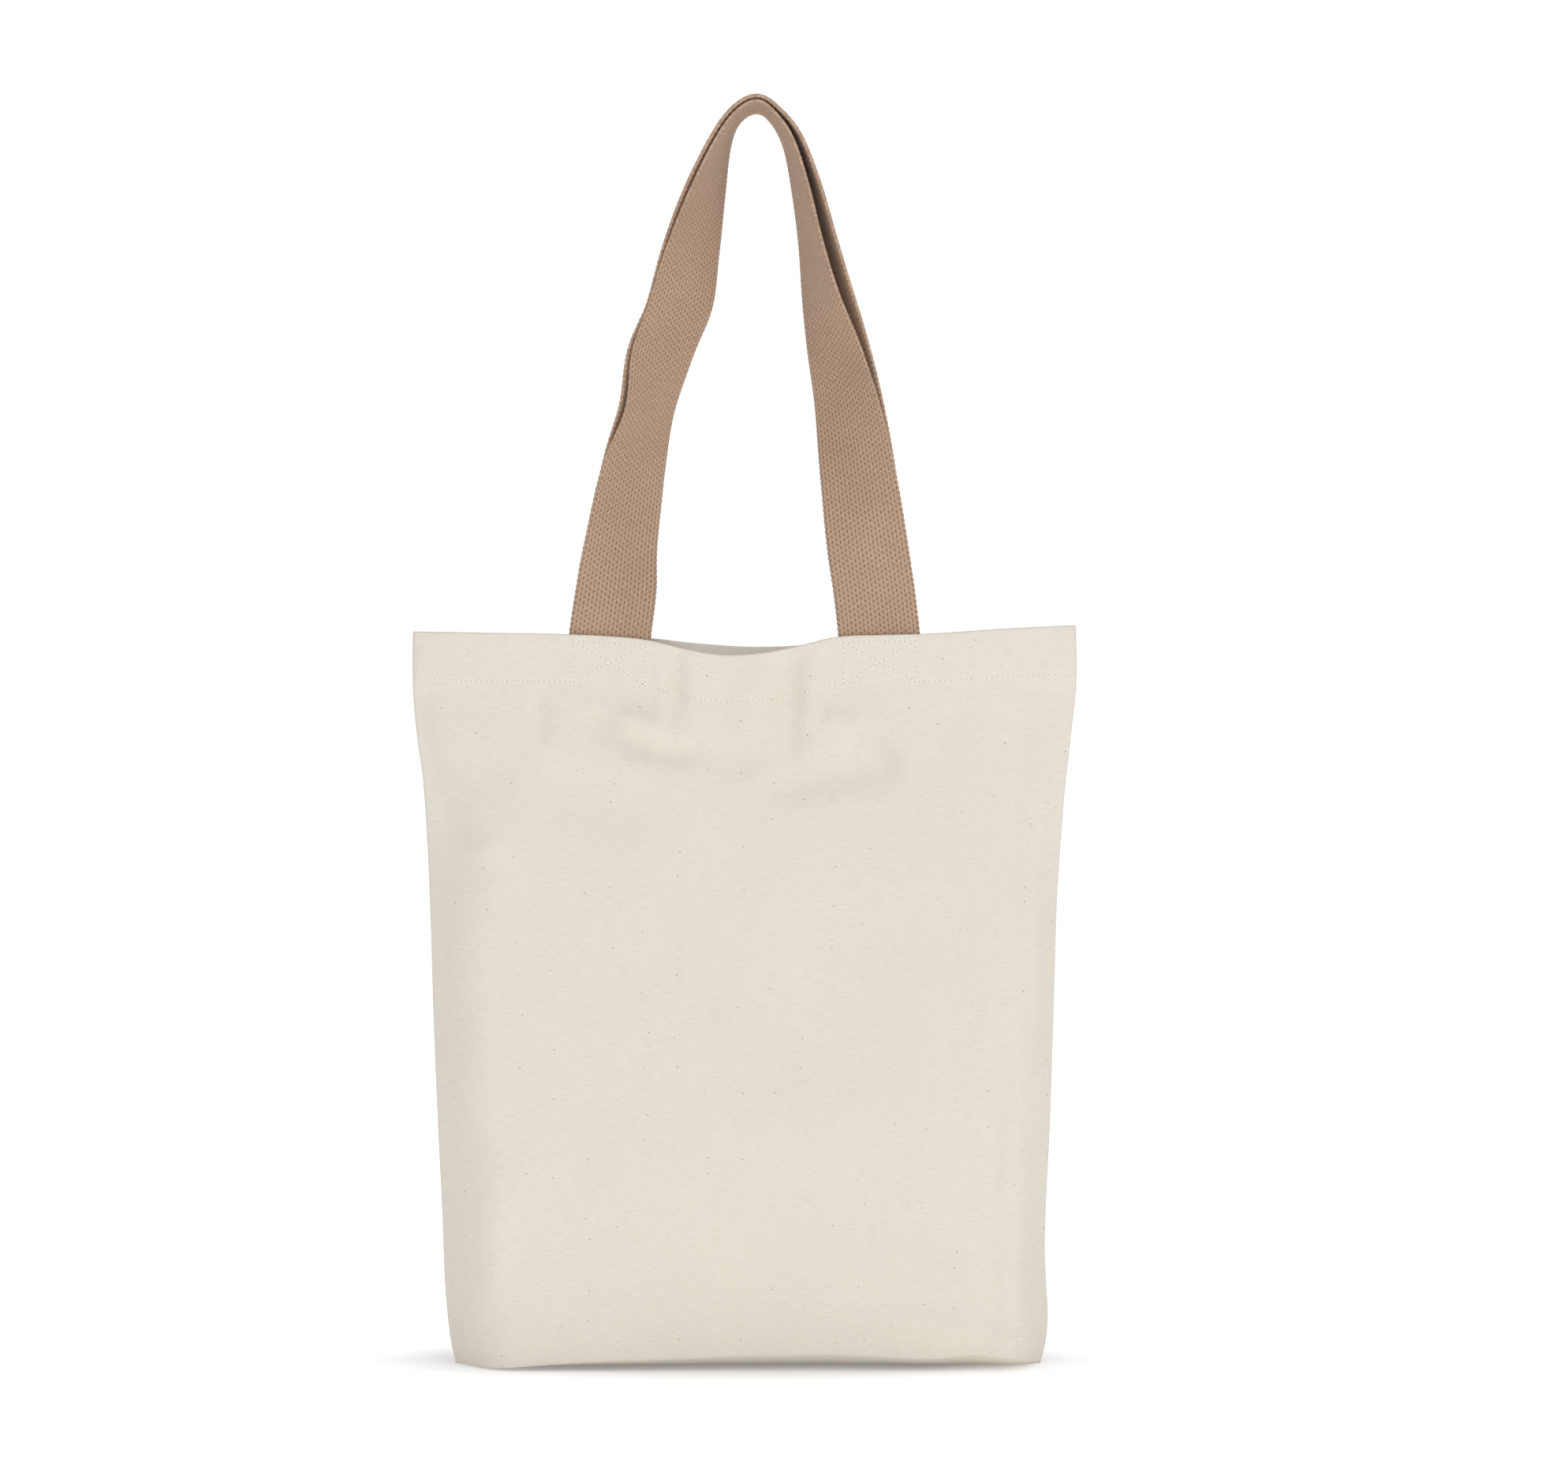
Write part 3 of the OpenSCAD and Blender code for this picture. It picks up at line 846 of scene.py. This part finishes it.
        # Each band: its rows, the surface they lie on, and their places up the flat cloth.
        bands = (
            (share, self.bottom, bottom * share),
            (corner, self.fold, bottom + s.fold_radius * corner),
            (wall, lambda c, z: self.wall(c, z, np.zeros_like(c)), start + wall),
            (
                over,
                lambda c, a: self.wall(c, crown + turned * np.sin(a), turned * (1 - np.cos(a))),
                start + s.height - turned + turned * over,
            ),
            (down, lambda c, z: self.wall(c, z, np.full_like(c, s.hem_thick)), start + 2 * s.height - down),
            (
                round_,
                lambda c, a: self.wall(c, tucked - lap * np.sin(a), 2 * lap + lap * np.cos(a)),
                start + 2 * s.height - s.hem_z - lap + lap * round_,
            ),
            (
                under,
                lambda c, z: self.wall(c, z, np.full_like(c, lap)),
                start + s.fold_radius + 2 * s.height - 2 * s.hem_z + under - lap,
            ),
        )
        points = np.concatenate([surface(*np.meshgrid(u, values)) for values, surface, _ in bands])
        up = np.concatenate([flat for _, _, flat in bands])
        back = self.face is Face.BACK
        cut = s.back_cut if back else 0.0
        places = np.stack(np.broadcast_arrays(s.half_cut * u[None, :] + cut, up[:, None]), axis=-1)
        pieces = Pieces()
        pieces.patch(points, places, turned=back)
        self.allowances(pieces, back)
        cloth = pieces.write(f"{self.face.label}_canvas")
        wall = cloth.modifiers.new("cloth_thickness", "SOLIDIFY")
        wall.thickness = 0.95 * s.cloth * MM
        wall.offset = -1
        return cloth

    def corner(self, share: Array, z: Array, side: Side) -> Array:
        """Points on the line across a bottom corner, inside the bag.

        The line runs straight from the side seam to the end of the bottom fold, and gives
        way where the rounded corner of the cloth is nearer.

        Args:
            share: Way from the side seam to the fold.
            z: Heights above the floor.
            side: Which corner.

        Returns:
            Points in millimetres.
        """
        s = self.shape
        (from_x, from_y), (run_x, run_y) = s.corner_start, s.corner_run
        x = side.value * (from_x - run_x * share)
        room = s.distance(x, z + 6.0) - 3.0
        out = np.maximum(np.minimum(from_y + run_y * share, room), 0.3)
        deep = np.maximum(s.distance(x, np.zeros_like(x)) - s.fold_radius, 0.05)
        floor = through(self.foot, x) * np.clip(out / deep, 0.0, 1.0) ** 2
        return np.stack([x, self.face.value * out, z + floor + 0.6], axis=-1)

    def allowances(self, pieces: Pieces, back: bool) -> None:
        """Adds the seam allowances that stand inside the bag.

        Side strips run 10 mm in from each side seam, the bottom strip stands 10 mm up from
        the middle seam, and the corner strips stand on the line across each corner. Their
        raw edges waver by a fraction of a millimetre.

        Args:
            pieces: Patches that the strips are added to.
            back: Whether this is the back panel.
        """
        s = self.shape
        sign = self.face.value
        z = np.linspace(4.0, s.hem_z + 4.0, 120)
        up = np.linspace(0.5, s.allowance, 6)
        for side in Side:
            inward = np.linspace(0.6, s.allowance, 6)
            gi, gz = np.meshgrid(inward, z)
            waver = 0.35 * np.sin(gz / 7.0) * gi / 10 + 0.05
            half = s.half_width(gz, np.full_like(gz, side.value))
            x = side.value * (half - gi)
            points = np.stack([x, sign * (0.08 + 0.6 * waver * waver), self.level(x, gz)], axis=-1)
            places = np.stack([s.half_cut - gi, s.wall_from + gz], axis=-1)
            pieces.patch(points, places, turned=(side is Side.RIGHT) == back)
            across, height = np.meshgrid(np.linspace(0, 1, 24), up)
            points = self.corner(across, height, side)
            places = np.stack([s.corner_length * across, -height], axis=-1)
            pieces.patch(points, places, turned=(side is Side.LEFT) == back)
        along = np.linspace(-144.5, 144.5, 90)
        gx, gz = np.meshgrid(along, up)
        y = sign * (0.08 + 0.5 * (gz / 10) ** 2 * (1 + np.sin(gx / 9.0)) * 0.4)
        pieces.patch(np.stack([gx, y, gz], axis=-1), np.stack([gx, -gz], axis=-1), turned=not back)


# ---------- Webbing ----------


@dataclass(frozen=True)
class HandlePath:
    """Line of the front handle, and how the back one lies behind it, in millimetres.

    Each leg is a list of points: way in to the top (%), height (%), turn of the webbing
    (degrees), distance of the back handle (% of the webbing's width) and how far the back
    handle is slid inwards (mm).
    """

    leg_x: float = 77.0
    strap_y: float = 6.2
    sewn_z: float = 386.0
    start_z: float = 418.0
    top_z: float = 720.0
    top_shift: float = 7.0
    width: float = 47.0
    left: tuple = (
        (0, 0, 0, 26.4, 0), (4, 8, 14, 23.4, 2.8), (7, 16, 29, 21.3, 5.4), (16, 31, 42, 14.9, 5.6),
        (27, 42, 56, 10.6, 0.6), (36, 53, 44, 8.5, 0), (48, 62, 41, 7.7, 1.6), (56, 72, 51, 7.7, 0.8),
        (66, 83, 66, 7.7, 0), (77, 93, 82, 6.8, 0), (87, 98, 89, 6.4, 0),
    )
    top: tuple = (100, 100, 90, 6.2, 0)
    right: tuple = (
        (0, 0, 0, 26.4, 0), (4, 8, 3, 23.4, 0.6), (9, 16, 8, 21.3, 1.6), (16, 28, 21, 17.0, 2.8),
        (26, 43, 39, 14.9, 2.6), (37, 54, 51, 16.0, 1.2), (48, 64, 65, 19.1, 0), (56, 74, 75, 18.1, 0),
        (64, 84, 80, 14.9, 0), (74, 93, 85, 10.7, 0), (87, 98, 89, 7.2, 0),
    )

    def knots(self) -> Array:
        """Points of the route: x, y, z, turn, distance of the back handle and its slide across.

        The turn runs from a half turn on the left leg through a quarter turn at the top to
        none on the right leg, so that it changes smoothly over the top.

        Returns:
            One row for each point, from the left end to the right end.
        """

        def leg(table: tuple, side: Side) -> Array:
            """Rows of one leg from its foot up.

            Args:
                table: Points of the leg.
                side: Which leg.

            Returns:
                One row for each point.
            """
            p = np.array(table, float)
            way, up = p[:, 0] / 100, p[:, 1] / 100
            foot = side.value * self.leg_x
            turn = p[:, 2] if side is Side.RIGHT else 180 - p[:, 2]
            return np.stack(
                [
                    foot + way * (self.top_shift - foot),
                    -self.strap_y * (1 - up),
                    self.start_z + up * (self.top_z - self.start_z),
                    turn,
                    p[:, 3] / 100 * self.width,
                    p[:, 4],
                ],
                axis=-1,
            )

        top = leg((self.top,), Side.RIGHT)
        return np.concatenate([leg(self.left, Side.LEFT), top, leg(self.right, Side.RIGHT)[::-1]])

    def run(self, spacing: float) -> tuple[Array, Array, Array, Array, Array]:
        """Carries the webbing along its line from one sewn end to the other.

        The line is the smooth cubic through the knots (Catmull-Rom), joined to straight
        sewn ends, and cut into equal lengths.

        Args:
            spacing: Length between two stations.

        Returns:
            Centres, directions across, directions out of the front face, distance and slide
            of the back handle, and the length so far, one for each station.
        """
        k = self.knots()
        padded = np.concatenate([k[:1], k, k[-1:]])
        t = np.linspace(0, 1, 25)[:-1, None, None]
        a, b, c, d = (padded[i : len(padded) - 3 + i] for i in range(4))
        curve = 0.5 * (
            2 * b + (c - a) * t + (2 * a - 5 * b + 4 * c - d) * t**2 + (3 * b - a - 3 * c + d) * t**3
        )
        curve = np.concatenate([curve.transpose(1, 0, 2).reshape(-1, 6), k[-1:]])
        rise = np.linspace(self.sewn_z, self.start_z, 20)[:-1]
        left = np.repeat(k[:1], len(rise), axis=0)
        right = np.repeat(k[-1:], len(rise), axis=0)
        left[:, 2], right[:, 2] = rise, rise[::-1]
        line = np.concatenate([left, curve, right])
        step = np.linalg.norm(np.diff(line[:, :3], axis=0), axis=1)
        far = np.concatenate([[0], np.cumsum(step)])
        count = int(round(far[-1] / spacing)) + 1
        at = np.linspace(0, far[-1], count)
        even = np.stack([np.interp(at, far, line[:, i]) for i in range(6)], axis=-1)
        # A short running mean takes the corners out of the joins between the spans.
        kernel = np.hanning(15)
        kernel /= kernel.sum()
        soft = np.stack([np.convolve(np.pad(even[:, i], 7, "edge"), kernel, "valid") for i in range(6)], axis=-1)
        weight = smooth((np.minimum(at, far[-1] - at) - 24) / 14)[:, None]
        even = even * (1 - weight) + soft * weight
        turn = np.radians(even[:, 3])
        across = np.stack([np.cos(turn), -np.sin(turn), np.zeros_like(turn)], axis=-1)
        heading = unit(np.gradient(even[:, :3], axis=0))
        facing = unit(np.cross(heading, across))
        return even[:, :3], across, facing, even[:, 4:], at


@dataclass(frozen=True)
class Weave:
    """Weave of the webbing: lengthwise chains with pits between them, set like bricks."""

    width: float = 47.0
    thick: float = 2.4
    columns: int = 20
    row: float = 3.1
    pit_depth: float = 0.18
    scallop: float = 0.45

    @property
    def column(self) -> float:
        """Width of one chain and its pit."""
        return self.width / self.columns


class Handle:
    """One webbing handle, in one piece from sewn end to sewn end."""

    def __init__(self, path: HandlePath, weave: Weave, face: Face) -> None:
        """Keeps the line, the weave and the panel that the handle is sewn to."""
        self.path = path
        self.weave = weave
        self.face = face

    def build(self) -> bpy.types.Object:
        """Carries a woven profile along the handle's line.

        Across, the profile has a point on each chain and one in each pit between two
        chains. A pit sinks into both faces by a bell along the length, and every second
        column is set half a row on. The selvedges bulge once a row.

        Returns:
            The finished object.
        """
        w = self.weave
        per_row = 4
        centre, across, facing, offset, length = self.path.run(w.row / per_row)
        if self.face is Face.BACK:
            centre = centre - offset[:, :1] * facing - offset[:, 1:] * across
            step = np.linalg.norm(np.diff(centre, axis=0), axis=1)
            length = np.concatenate([[0], np.cumsum(step)])
        phase = np.arange(len(centre)) / per_row
        halves = np.arange(2 * w.columns + 1)
        column = (halves - 1) // 2
        in_pit = (halves % 2).astype(float)
        wave = np.cos(2 * np.pi * (phase[:, None] + 0.5 * column[None, :]))
        sink = w.pit_depth * in_pit[None, :] * (0.5 - 0.5 * wave) ** 1.5
        edge = np.minimum(halves, 2 * w.columns - halves) == 0
        sink = sink + 0.55 * edge[None, :]
        place = (halves / (2 * w.columns) - 0.5) * w.width
        bulge = w.scallop * (0.5 * np.cos(2 * np.pi * phase) - 0.5)
        side = np.where(edge, np.sign(place), 0.0)
        lateral = place[None, :] + side[None, :] * bulge[:, None]
        half = w.thick / 2 - sink

        def sheet_of(sign: int) -> Array:
            """Points of one face of the strap.

            Args:
                sign: 1 for the front face and -1 for the back one.

            Returns:
                A row of points for each station.
            """
            return (
                centre[:, None, :]
                + lateral[..., None] * across[:, None, :]
                + sign * half[..., None] * facing[:, None, :]
            )

        ring = np.concatenate([sheet_of(1), sheet_of(-1)[:, ::-1]], axis=1)
        u = np.concatenate([place, place[::-1]]) + w.width / 2
        flat_v = phase * w.row
        places = np.stack(np.broadcast_arrays(u[None, :], flat_v[:, None]), axis=-1)
        pieces = Pieces()
        pieces.patch(ring, places, round_=True, turned=True)
        n = ring.shape[1]
        i = np.arange(n // 2 - 1)
        last = (len(ring) - 1) * n
        first_cap = np.stack([i, i + 1, n - 2 - i, n - 1 - i], axis=-1)
        last_cap = first_cap[:, ::-1] + last
        pieces.faces(first_cap)
        pieces.faces(last_cap)
        strap = pieces.write(f"{self.face.label}_webbing")
        log.info("%s: %.0f mm of webbing", strap.name, length[-1])
        return strap


# ---------- Stitching ----------


@dataclass(frozen=True)
class StitchRun:
    """How stitches are made: pitch, thread and how they sink in at their ends."""

    pitch: float = 3.0
    share: float = 0.78
    radius: float = 0.32
    proud: float = 0.28
    sink: float = 0.06


class Thread:
    """Runs of short raised stitches."""

    def __init__(self, stitch: StitchRun) -> None:
        """Keeps the stitch and starts with no run."""
        self.stitch = stitch
        self.pieces = Pieces()
        self.total = 0

    def run(self, line: Array, outward: Array) -> None:
        """Lays stitches along a line.

        The line is cut into equal pitches. Each stitch is a spindle of five rings round a
        shallow arch: its middle stands proud of the cloth and its ends sink into it.

        Args:
            line: Points along the line, in millimetres.
            outward: Direction out of the cloth, one for the run or one for each point.
        """
        s = self.stitch
        outward = np.broadcast_to(outward, line.shape)
        step = np.linalg.norm(np.diff(line, axis=0), axis=1)
        far = np.concatenate([[0], np.cumsum(step)])
        count = max(1, int(round(far[-1] / s.pitch)))
        first = np.arange(count) * far[-1] / count
        t = np.linspace(0, 1, 5)
        at = first[:, None] + (0.5 - 0.5 * s.share + s.share * t[None, :]) * far[-1] / count
        centre = np.stack([np.interp(at, far, line[:, i]) for i in range(3)], axis=-1)
        out = unit(np.stack([np.interp(at, far, outward[:, i]) for i in range(3)], axis=-1))
        arch = np.sin(np.pi * t)
        centre = centre + out * (s.proud - s.radius - s.sink * (1 - arch))[None, :, None]
        along = unit(np.gradient(centre, axis=1))
        beside = unit(np.cross(along, out))
        over = np.cross(beside, along)
        round_ = np.linspace(0, 2 * np.pi, 7)[:-1]
        radius = s.radius * (0.5 + 0.5 * np.sqrt(arch))
        points = centre[:, :, None, :] + radius[None, :, None, None] * (
            np.cos(round_)[None, None, :, None] * beside[:, :, None, :]
            + np.sin(round_)[None, None, :, None] * over[:, :, None, :]
        )
        v = np.broadcast_to((t * s.pitch)[None, :, None], points.shape[:-1])
        h = np.broadcast_to((round_ * s.radius)[None, None, :], points.shape[:-1])
        start = self.pieces.count
        self.pieces.patch(points, np.stack([h, v], axis=-1), round_=True, turned=True)
        cap = np.array([[0, 1, 2, 3], [0, 3, 4, 5]])
        each = start + np.arange(count)[:, None, None] * 30
        self.pieces.faces((each + cap[None]).reshape(-1, 4))
        self.pieces.faces((each + 24 + cap[None, :, ::-1]).reshape(-1, 4))
        self.total += count

    def write(self, name: str) -> bpy.types.Object:
        """Writes all runs into one object."""
        log.info("%s: %d stitches", name, self.total)
        return self.pieces.write(name)


@dataclass(frozen=True)
class Sewing:
    """Where the seams run, in millimetres."""

    leg_x: float = 77.0
    box_half: float = 20.5
    box_top: float = 413.0
    box_low: float = 389.9
    hem_line_z: float = 389.6
    hem_line_end: float = 180.0
    seam_in: float = 2.7
    seam_low: float = 8.0
    seam_top: float = 385.0
    # Thread lies this far from the middle plane on the allowances, and 5 mm in the boxes.
    beside: float = 0.9
    box_inside: float = 5.0
    bottom_end: float = 143.0
    # Overlocking: how far in its middle runs, how far it swings and its pitch.
    overlock_in: float = 8.0
    overlock_swing: float = 1.7
    overlock_pitch: float = 2.4

    def threads(self) -> tuple[Thread, Thread]:
        """An empty seam thread and an empty overlocking thread."""
        return Thread(StitchRun()), Thread(StitchRun(pitch=self.overlock_pitch, share=0.95))

    def zigzag(self, along: Array) -> Array:
        """How far in the overlocking lies at each length: a triangle wave of its pitch."""
        swing = np.arcsin(np.sin(np.pi * along / self.overlock_pitch))
        return self.overlock_in + self.overlock_swing * (2 / np.pi) * swing

    def box(self, panel: Panel, side: Side) -> bpy.types.Object:
        """Sews the box and cross of one strap, seen on the hem and inside on the webbing.

        Args:
            panel: Panel that the strap is sewn to.
            side: Which leg of the handle.

        Returns:
            The stitches.
        """
        thread = Thread(StitchRun())
        x0, x1 = side.value * self.leg_x - self.box_half, side.value * self.leg_x + self.box_half
        corners = [(x0, self.box_low), (x0, self.box_top), (x1, self.box_top), (x1, self.box_low), (x0, self.box_low)]
        lines = [*zip(corners[:-1], corners[1:]), (corners[0], corners[2]), (corners[1], corners[3])]
        outward = np.array([0.0, panel.face.value, 0.0])
        for (ax, az), (bx, bz) in lines:
            t = np.linspace(0, 1, 30)
            x, z = ax + (bx - ax) * t, az + (bz - az) * t
            thread.run(panel.on_wall(x, z), outward)
            inner = panel.on_wall(x, z)
            inner[:, 1] = panel.face.value * self.box_inside
            thread.run(inner, -outward)
        return thread.write(f"{panel.face.label}_{side.label}_box_stitches")

    def hem(self, panel: Panel) -> bpy.types.Object:
        """Sews the line along the bottom edge of the hem, outside and inside.

        Args:
            panel: Panel whose hem is sewn.

        Returns:
            The stitches.
        """
        thread = Thread(StitchRun())
        x = np.linspace(-self.hem_line_end, self.hem_line_end, 400)
        z = np.full_like(x, self.hem_line_z)
        outward = np.array([0.0, panel.face.value, 0.0])
        thread.run(panel.on_wall(x, z), outward)
        thread.run(panel.on_wall(x, z, panel.shape.hem_thick), -outward)
        return thread.write(f"{panel.face.label}_hem_stitches")

    def side(self, shape: BagShape, side: Side) -> tuple[bpy.types.Object, bpy.types.Object]:
        """Sews a side seam and its corner, and overlocks the edges of their allowances.

        Args:
            shape: Sizes of the bag.
            side: Which side seam.

        Returns:
            The seam stitches and the overlocking.
        """
        z = np.linspace(self.seam_low, self.seam_top, 200)
        half = shape.half_width(z, np.full_like(z, side.value))
        seam, edge = self.threads()
        for face in Face:
            out = np.array([0.0, face.value, 0.0])
            y = np.full_like(z, face.value * self.beside)
            seam.run(np.stack([side.value * (half - self.seam_in), y, z], axis=-1), out)
            edge.run(np.stack([side.value * (half - self.zigzag(z)), y, z], axis=-1), out)
            share = np.linspace(0.04, 0.96, 60)
            inwards = np.array([-0.9 * side.value, -0.4 * face.value, 0.0])
            panel = Panel(shape, face, ())
            seam.run(panel.corner(share, np.full_like(share, self.seam_in), side), inwards)
            edge.run(panel.corner(share, self.zigzag(shape.corner_length * share), side), inwards)
        return seam.write(f"{side.label}_side_stitches"), edge.write(f"{side.label}_side_overlocking")

    def bottom(self) -> tuple[bpy.types.Object, bpy.types.Object]:
        """Sews the bottom seam and overlocks the edge of its allowances.

        Returns:
            The seam stitches and the overlocking.
        """
        x = np.linspace(-self.bottom_end, self.bottom_end, 200)
        seam, edge = self.threads()
        for face in Face:
            out = np.array([0.0, face.value, 0.0])
            y = np.full_like(x, face.value * self.beside)
            seam.run(np.stack([x, y, np.full_like(x, self.seam_in)], axis=-1), out)
            edge.run(np.stack([x, y, self.zigzag(x)], axis=-1), out)
        return seam.write("bottom_stitches"), edge.write("bottom_overlocking")


# ---------- The whole object ----------


class Tote:
    """The bag: two panels, two handles and the stitching."""

    def __init__(self) -> None:
        """Sets up the shape and the finishes."""
        self.shape = BagShape()
        self.weave = Weave()
        self.path = HandlePath()
        self.sewing = Sewing()
        self.canvas = CanvasFinish().make()
        self.webbing = WebbingFinish(self.weave.column, self.weave.row).make()
        self.thread = ThreadFinish(StitchRun().pitch).make()

    def dress(self, obj: bpy.types.Object, material: bpy.types.Material, nodes: list[str]) -> None:
        """Gives a piece its finish and hides the model's nodes that it stands for.

        Args:
            obj: The piece.
            material: Its finish.
            nodes: The nodes.
        """
        obj.data.materials.append(material)
        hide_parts(*nodes)

    def build_panel(self, face: Face, creases: tuple[Crease, ...]) -> Panel:
        """Builds one panel with its hem stitches and strap boxes.

        Args:
            face: Which panel.
            creases: The folds of its cloth.

        Returns:
            The panel.
        """
        panel = Panel(self.shape, face, creases)
        cloth = panel.build()
        self.dress(cloth, self.canvas, [f"{face.label}_panel"])
        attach(cloth, "bag")
        hem = self.sewing.hem(panel)
        self.dress(hem, self.thread, [f"{face.label}_hem_stitching"])
        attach(hem, "bag")
        for side in Side:
            box = self.sewing.box(panel, side)
            self.dress(box, self.thread, [f"{face.label}_{side.label}_box_stitching"])
            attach(box, "bag")
        log.info("%s panel built", face.label)
        return panel

    def build_handle(self, face: Face) -> None:
        """Builds one handle, which arches over the mouth.

        Args:
            face: Panel that it is sewn to.
        """
        strap = Handle(self.path, self.weave, face).build()
        label = face.label
        ends = [f"{label}_{side.label}_strap_end" for side in Side]
        self.dress(strap, self.webbing, [f"{label}_handle", *ends])
        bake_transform(strap)
        log.info("%s handle built", label)

    def build_seams(self) -> None:
        """Builds the seams and overlocked edges inside the bag."""
        for side in Side:
            seam, edge = self.sewing.side(self.shape, side)
            self.dress(seam, self.thread, [f"{side.label}_side_seam", f"{side.label}_corner_seam"])
            self.dress(edge, self.thread, [f"{side.label}_side_overlock", f"{side.label}_corner_overlock"])
            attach(seam, "bag")
            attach(edge, "bag")
        seam, edge = self.sewing.bottom()
        self.dress(seam, self.thread, ["bottom_seam"])
        self.dress(edge, self.thread, ["bottom_overlock"])
        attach(seam, "bag")
        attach(edge, "bag")
        log.info("seams built")


@dataclass(frozen=True)
class Studio:
    """White table, soft light and the camera, in metres and watts."""

    view_width: float = 0.8986
    aim: tuple = (0.0226, 0.0, 0.3614)
    distance: float = 2.4
    sensor: float = 36.0
    key_power: float = 7.0
    over_power: float = 28.0
    air_front: float = 0.68
    air_side: float = 0.12
    air_tilt: float = 0.14
    air_behind: float = 1.03
    air_level: float = 1.0

    def place_camera(self) -> None:
        """Sets a level camera in front, far enough off that the bag's depth hardly shows."""
        data = bpy.data.cameras.new("camera")
        data.sensor_width = self.sensor
        data.lens = self.sensor * self.distance / self.view_width
        data.clip_end = 100.0
        camera = bpy.data.objects.new("camera", data)
        camera.location = (self.aim[0], self.aim[1] - self.distance, self.aim[2])
        camera.rotation_euler = (math.radians(90), 0.0, 0.0)
        bpy.context.scene.collection.objects.link(camera)
        bpy.context.scene.camera = camera

    def light(self, name: str, place: tuple, size: float, power: float) -> None:
        """Hangs a square soft light that faces the bag.

        Args:
            name: Name of the lamp.
            place: Where it hangs, in metres.
            size: Its side, in metres.
            power: Its power, in watts.
        """
        data = bpy.data.lights.new(name, "AREA")
        data.shape = "SQUARE"
        data.size = size
        data.energy = power
        lamp = bpy.data.objects.new(name, data)
        lamp.location = place
        away = np.array(place) - np.array([0.0, 0.0, 0.3])
        flat = math.hypot(away[0], away[1])
        lamp.rotation_euler = (math.atan2(flat, away[2]), 0.0, math.atan2(away[1], away[0]) + math.pi / 2)
        bpy.context.scene.collection.objects.link(lamp)

    def build(self) -> None:
        """Lays the floor and hangs the lights."""
        self.place_camera()
        scene = bpy.context.scene
        scene.view_settings.view_transform = "Standard"
        pieces = Pieces()
        x, y = np.meshgrid(np.linspace(-20000, 20000, 9), np.linspace(-8000, 32000, 9))
        pieces.patch(np.stack([x, y, np.zeros_like(x)], axis=-1), np.stack([x, y], axis=-1))
        floor = pieces.write("studio_floor")
        floor.data.materials.append(PaintedGlowFloorFinish().make())
        scene.world = self.air()
        self.light("key", (1.5, -2.2, 1.9), 1.6, self.key_power)
        self.light("over", (0.3, -0.8, 3.2), 2.6, self.over_power)

    def air(self) -> bpy.types.World:
        """Makes the soft light all round: white behind the bag and in front, lower at the sides.

        It is white low down all round, and falls a little from the right to the left, so
        that the side folds show.

        Returns:
            The world.
        """
        world = bpy.data.worlds.new("studio_air")
        world.use_nodes = True
        tree = world.node_tree
        tree.nodes.clear()
        put = partial(add, tree)
        way = put("SeparateXYZ", {"Vector": put("TexCoord", {}, "Generated")}).node.outputs
        height = put("Math", {0: way["Z"]}, operation="ABSOLUTE")
        # Each row: a part of the direction, where its smooth step starts and ends, and its two levels.
        names = ("Value", "From Min", "From Max", "To Min", "To Max")
        front, tilt, behind, low = (
            put("MapRange", dict(zip(names, step)), "Result", **EASE)
            for step in (
                (way["Y"], -0.75, 0.1, self.air_front, self.air_side),
                (way["X"], -1.0, 1.0, 1 - self.air_tilt, 1 + self.air_tilt),
                (way["Y"], 0.55, 0.85, 0.0, self.air_behind),
                (height, 0.14, 0.28, self.air_level, 0.0),
            )
        )
        strength = put("Math", {0: front, 1: tilt}, operation="MULTIPLY")
        for other in (behind, low):
            strength = put("Math", {0: strength, 1: other}, operation="MAXIMUM")
        put("OutputWorld", {"Surface": put("Background", {"Color": (1, 1, 1, 1), "Strength": strength})})
        return world


def main() -> None:
    """Builds the studio and the bag, and reports each piece."""
    logging.basicConfig(level=logging.INFO, format="%(name)s: %(message)s")
    Studio().build()
    tote = Tote()
    for face in Face:
        tote.build_handle(face)
    for face, creases in ((Face.FRONT, FRONT_CREASES), (Face.BACK, BACK_CREASES)):
        tote.build_panel(face, creases)
    tote.build_seams()


if __name__ == "__main__":
    main()
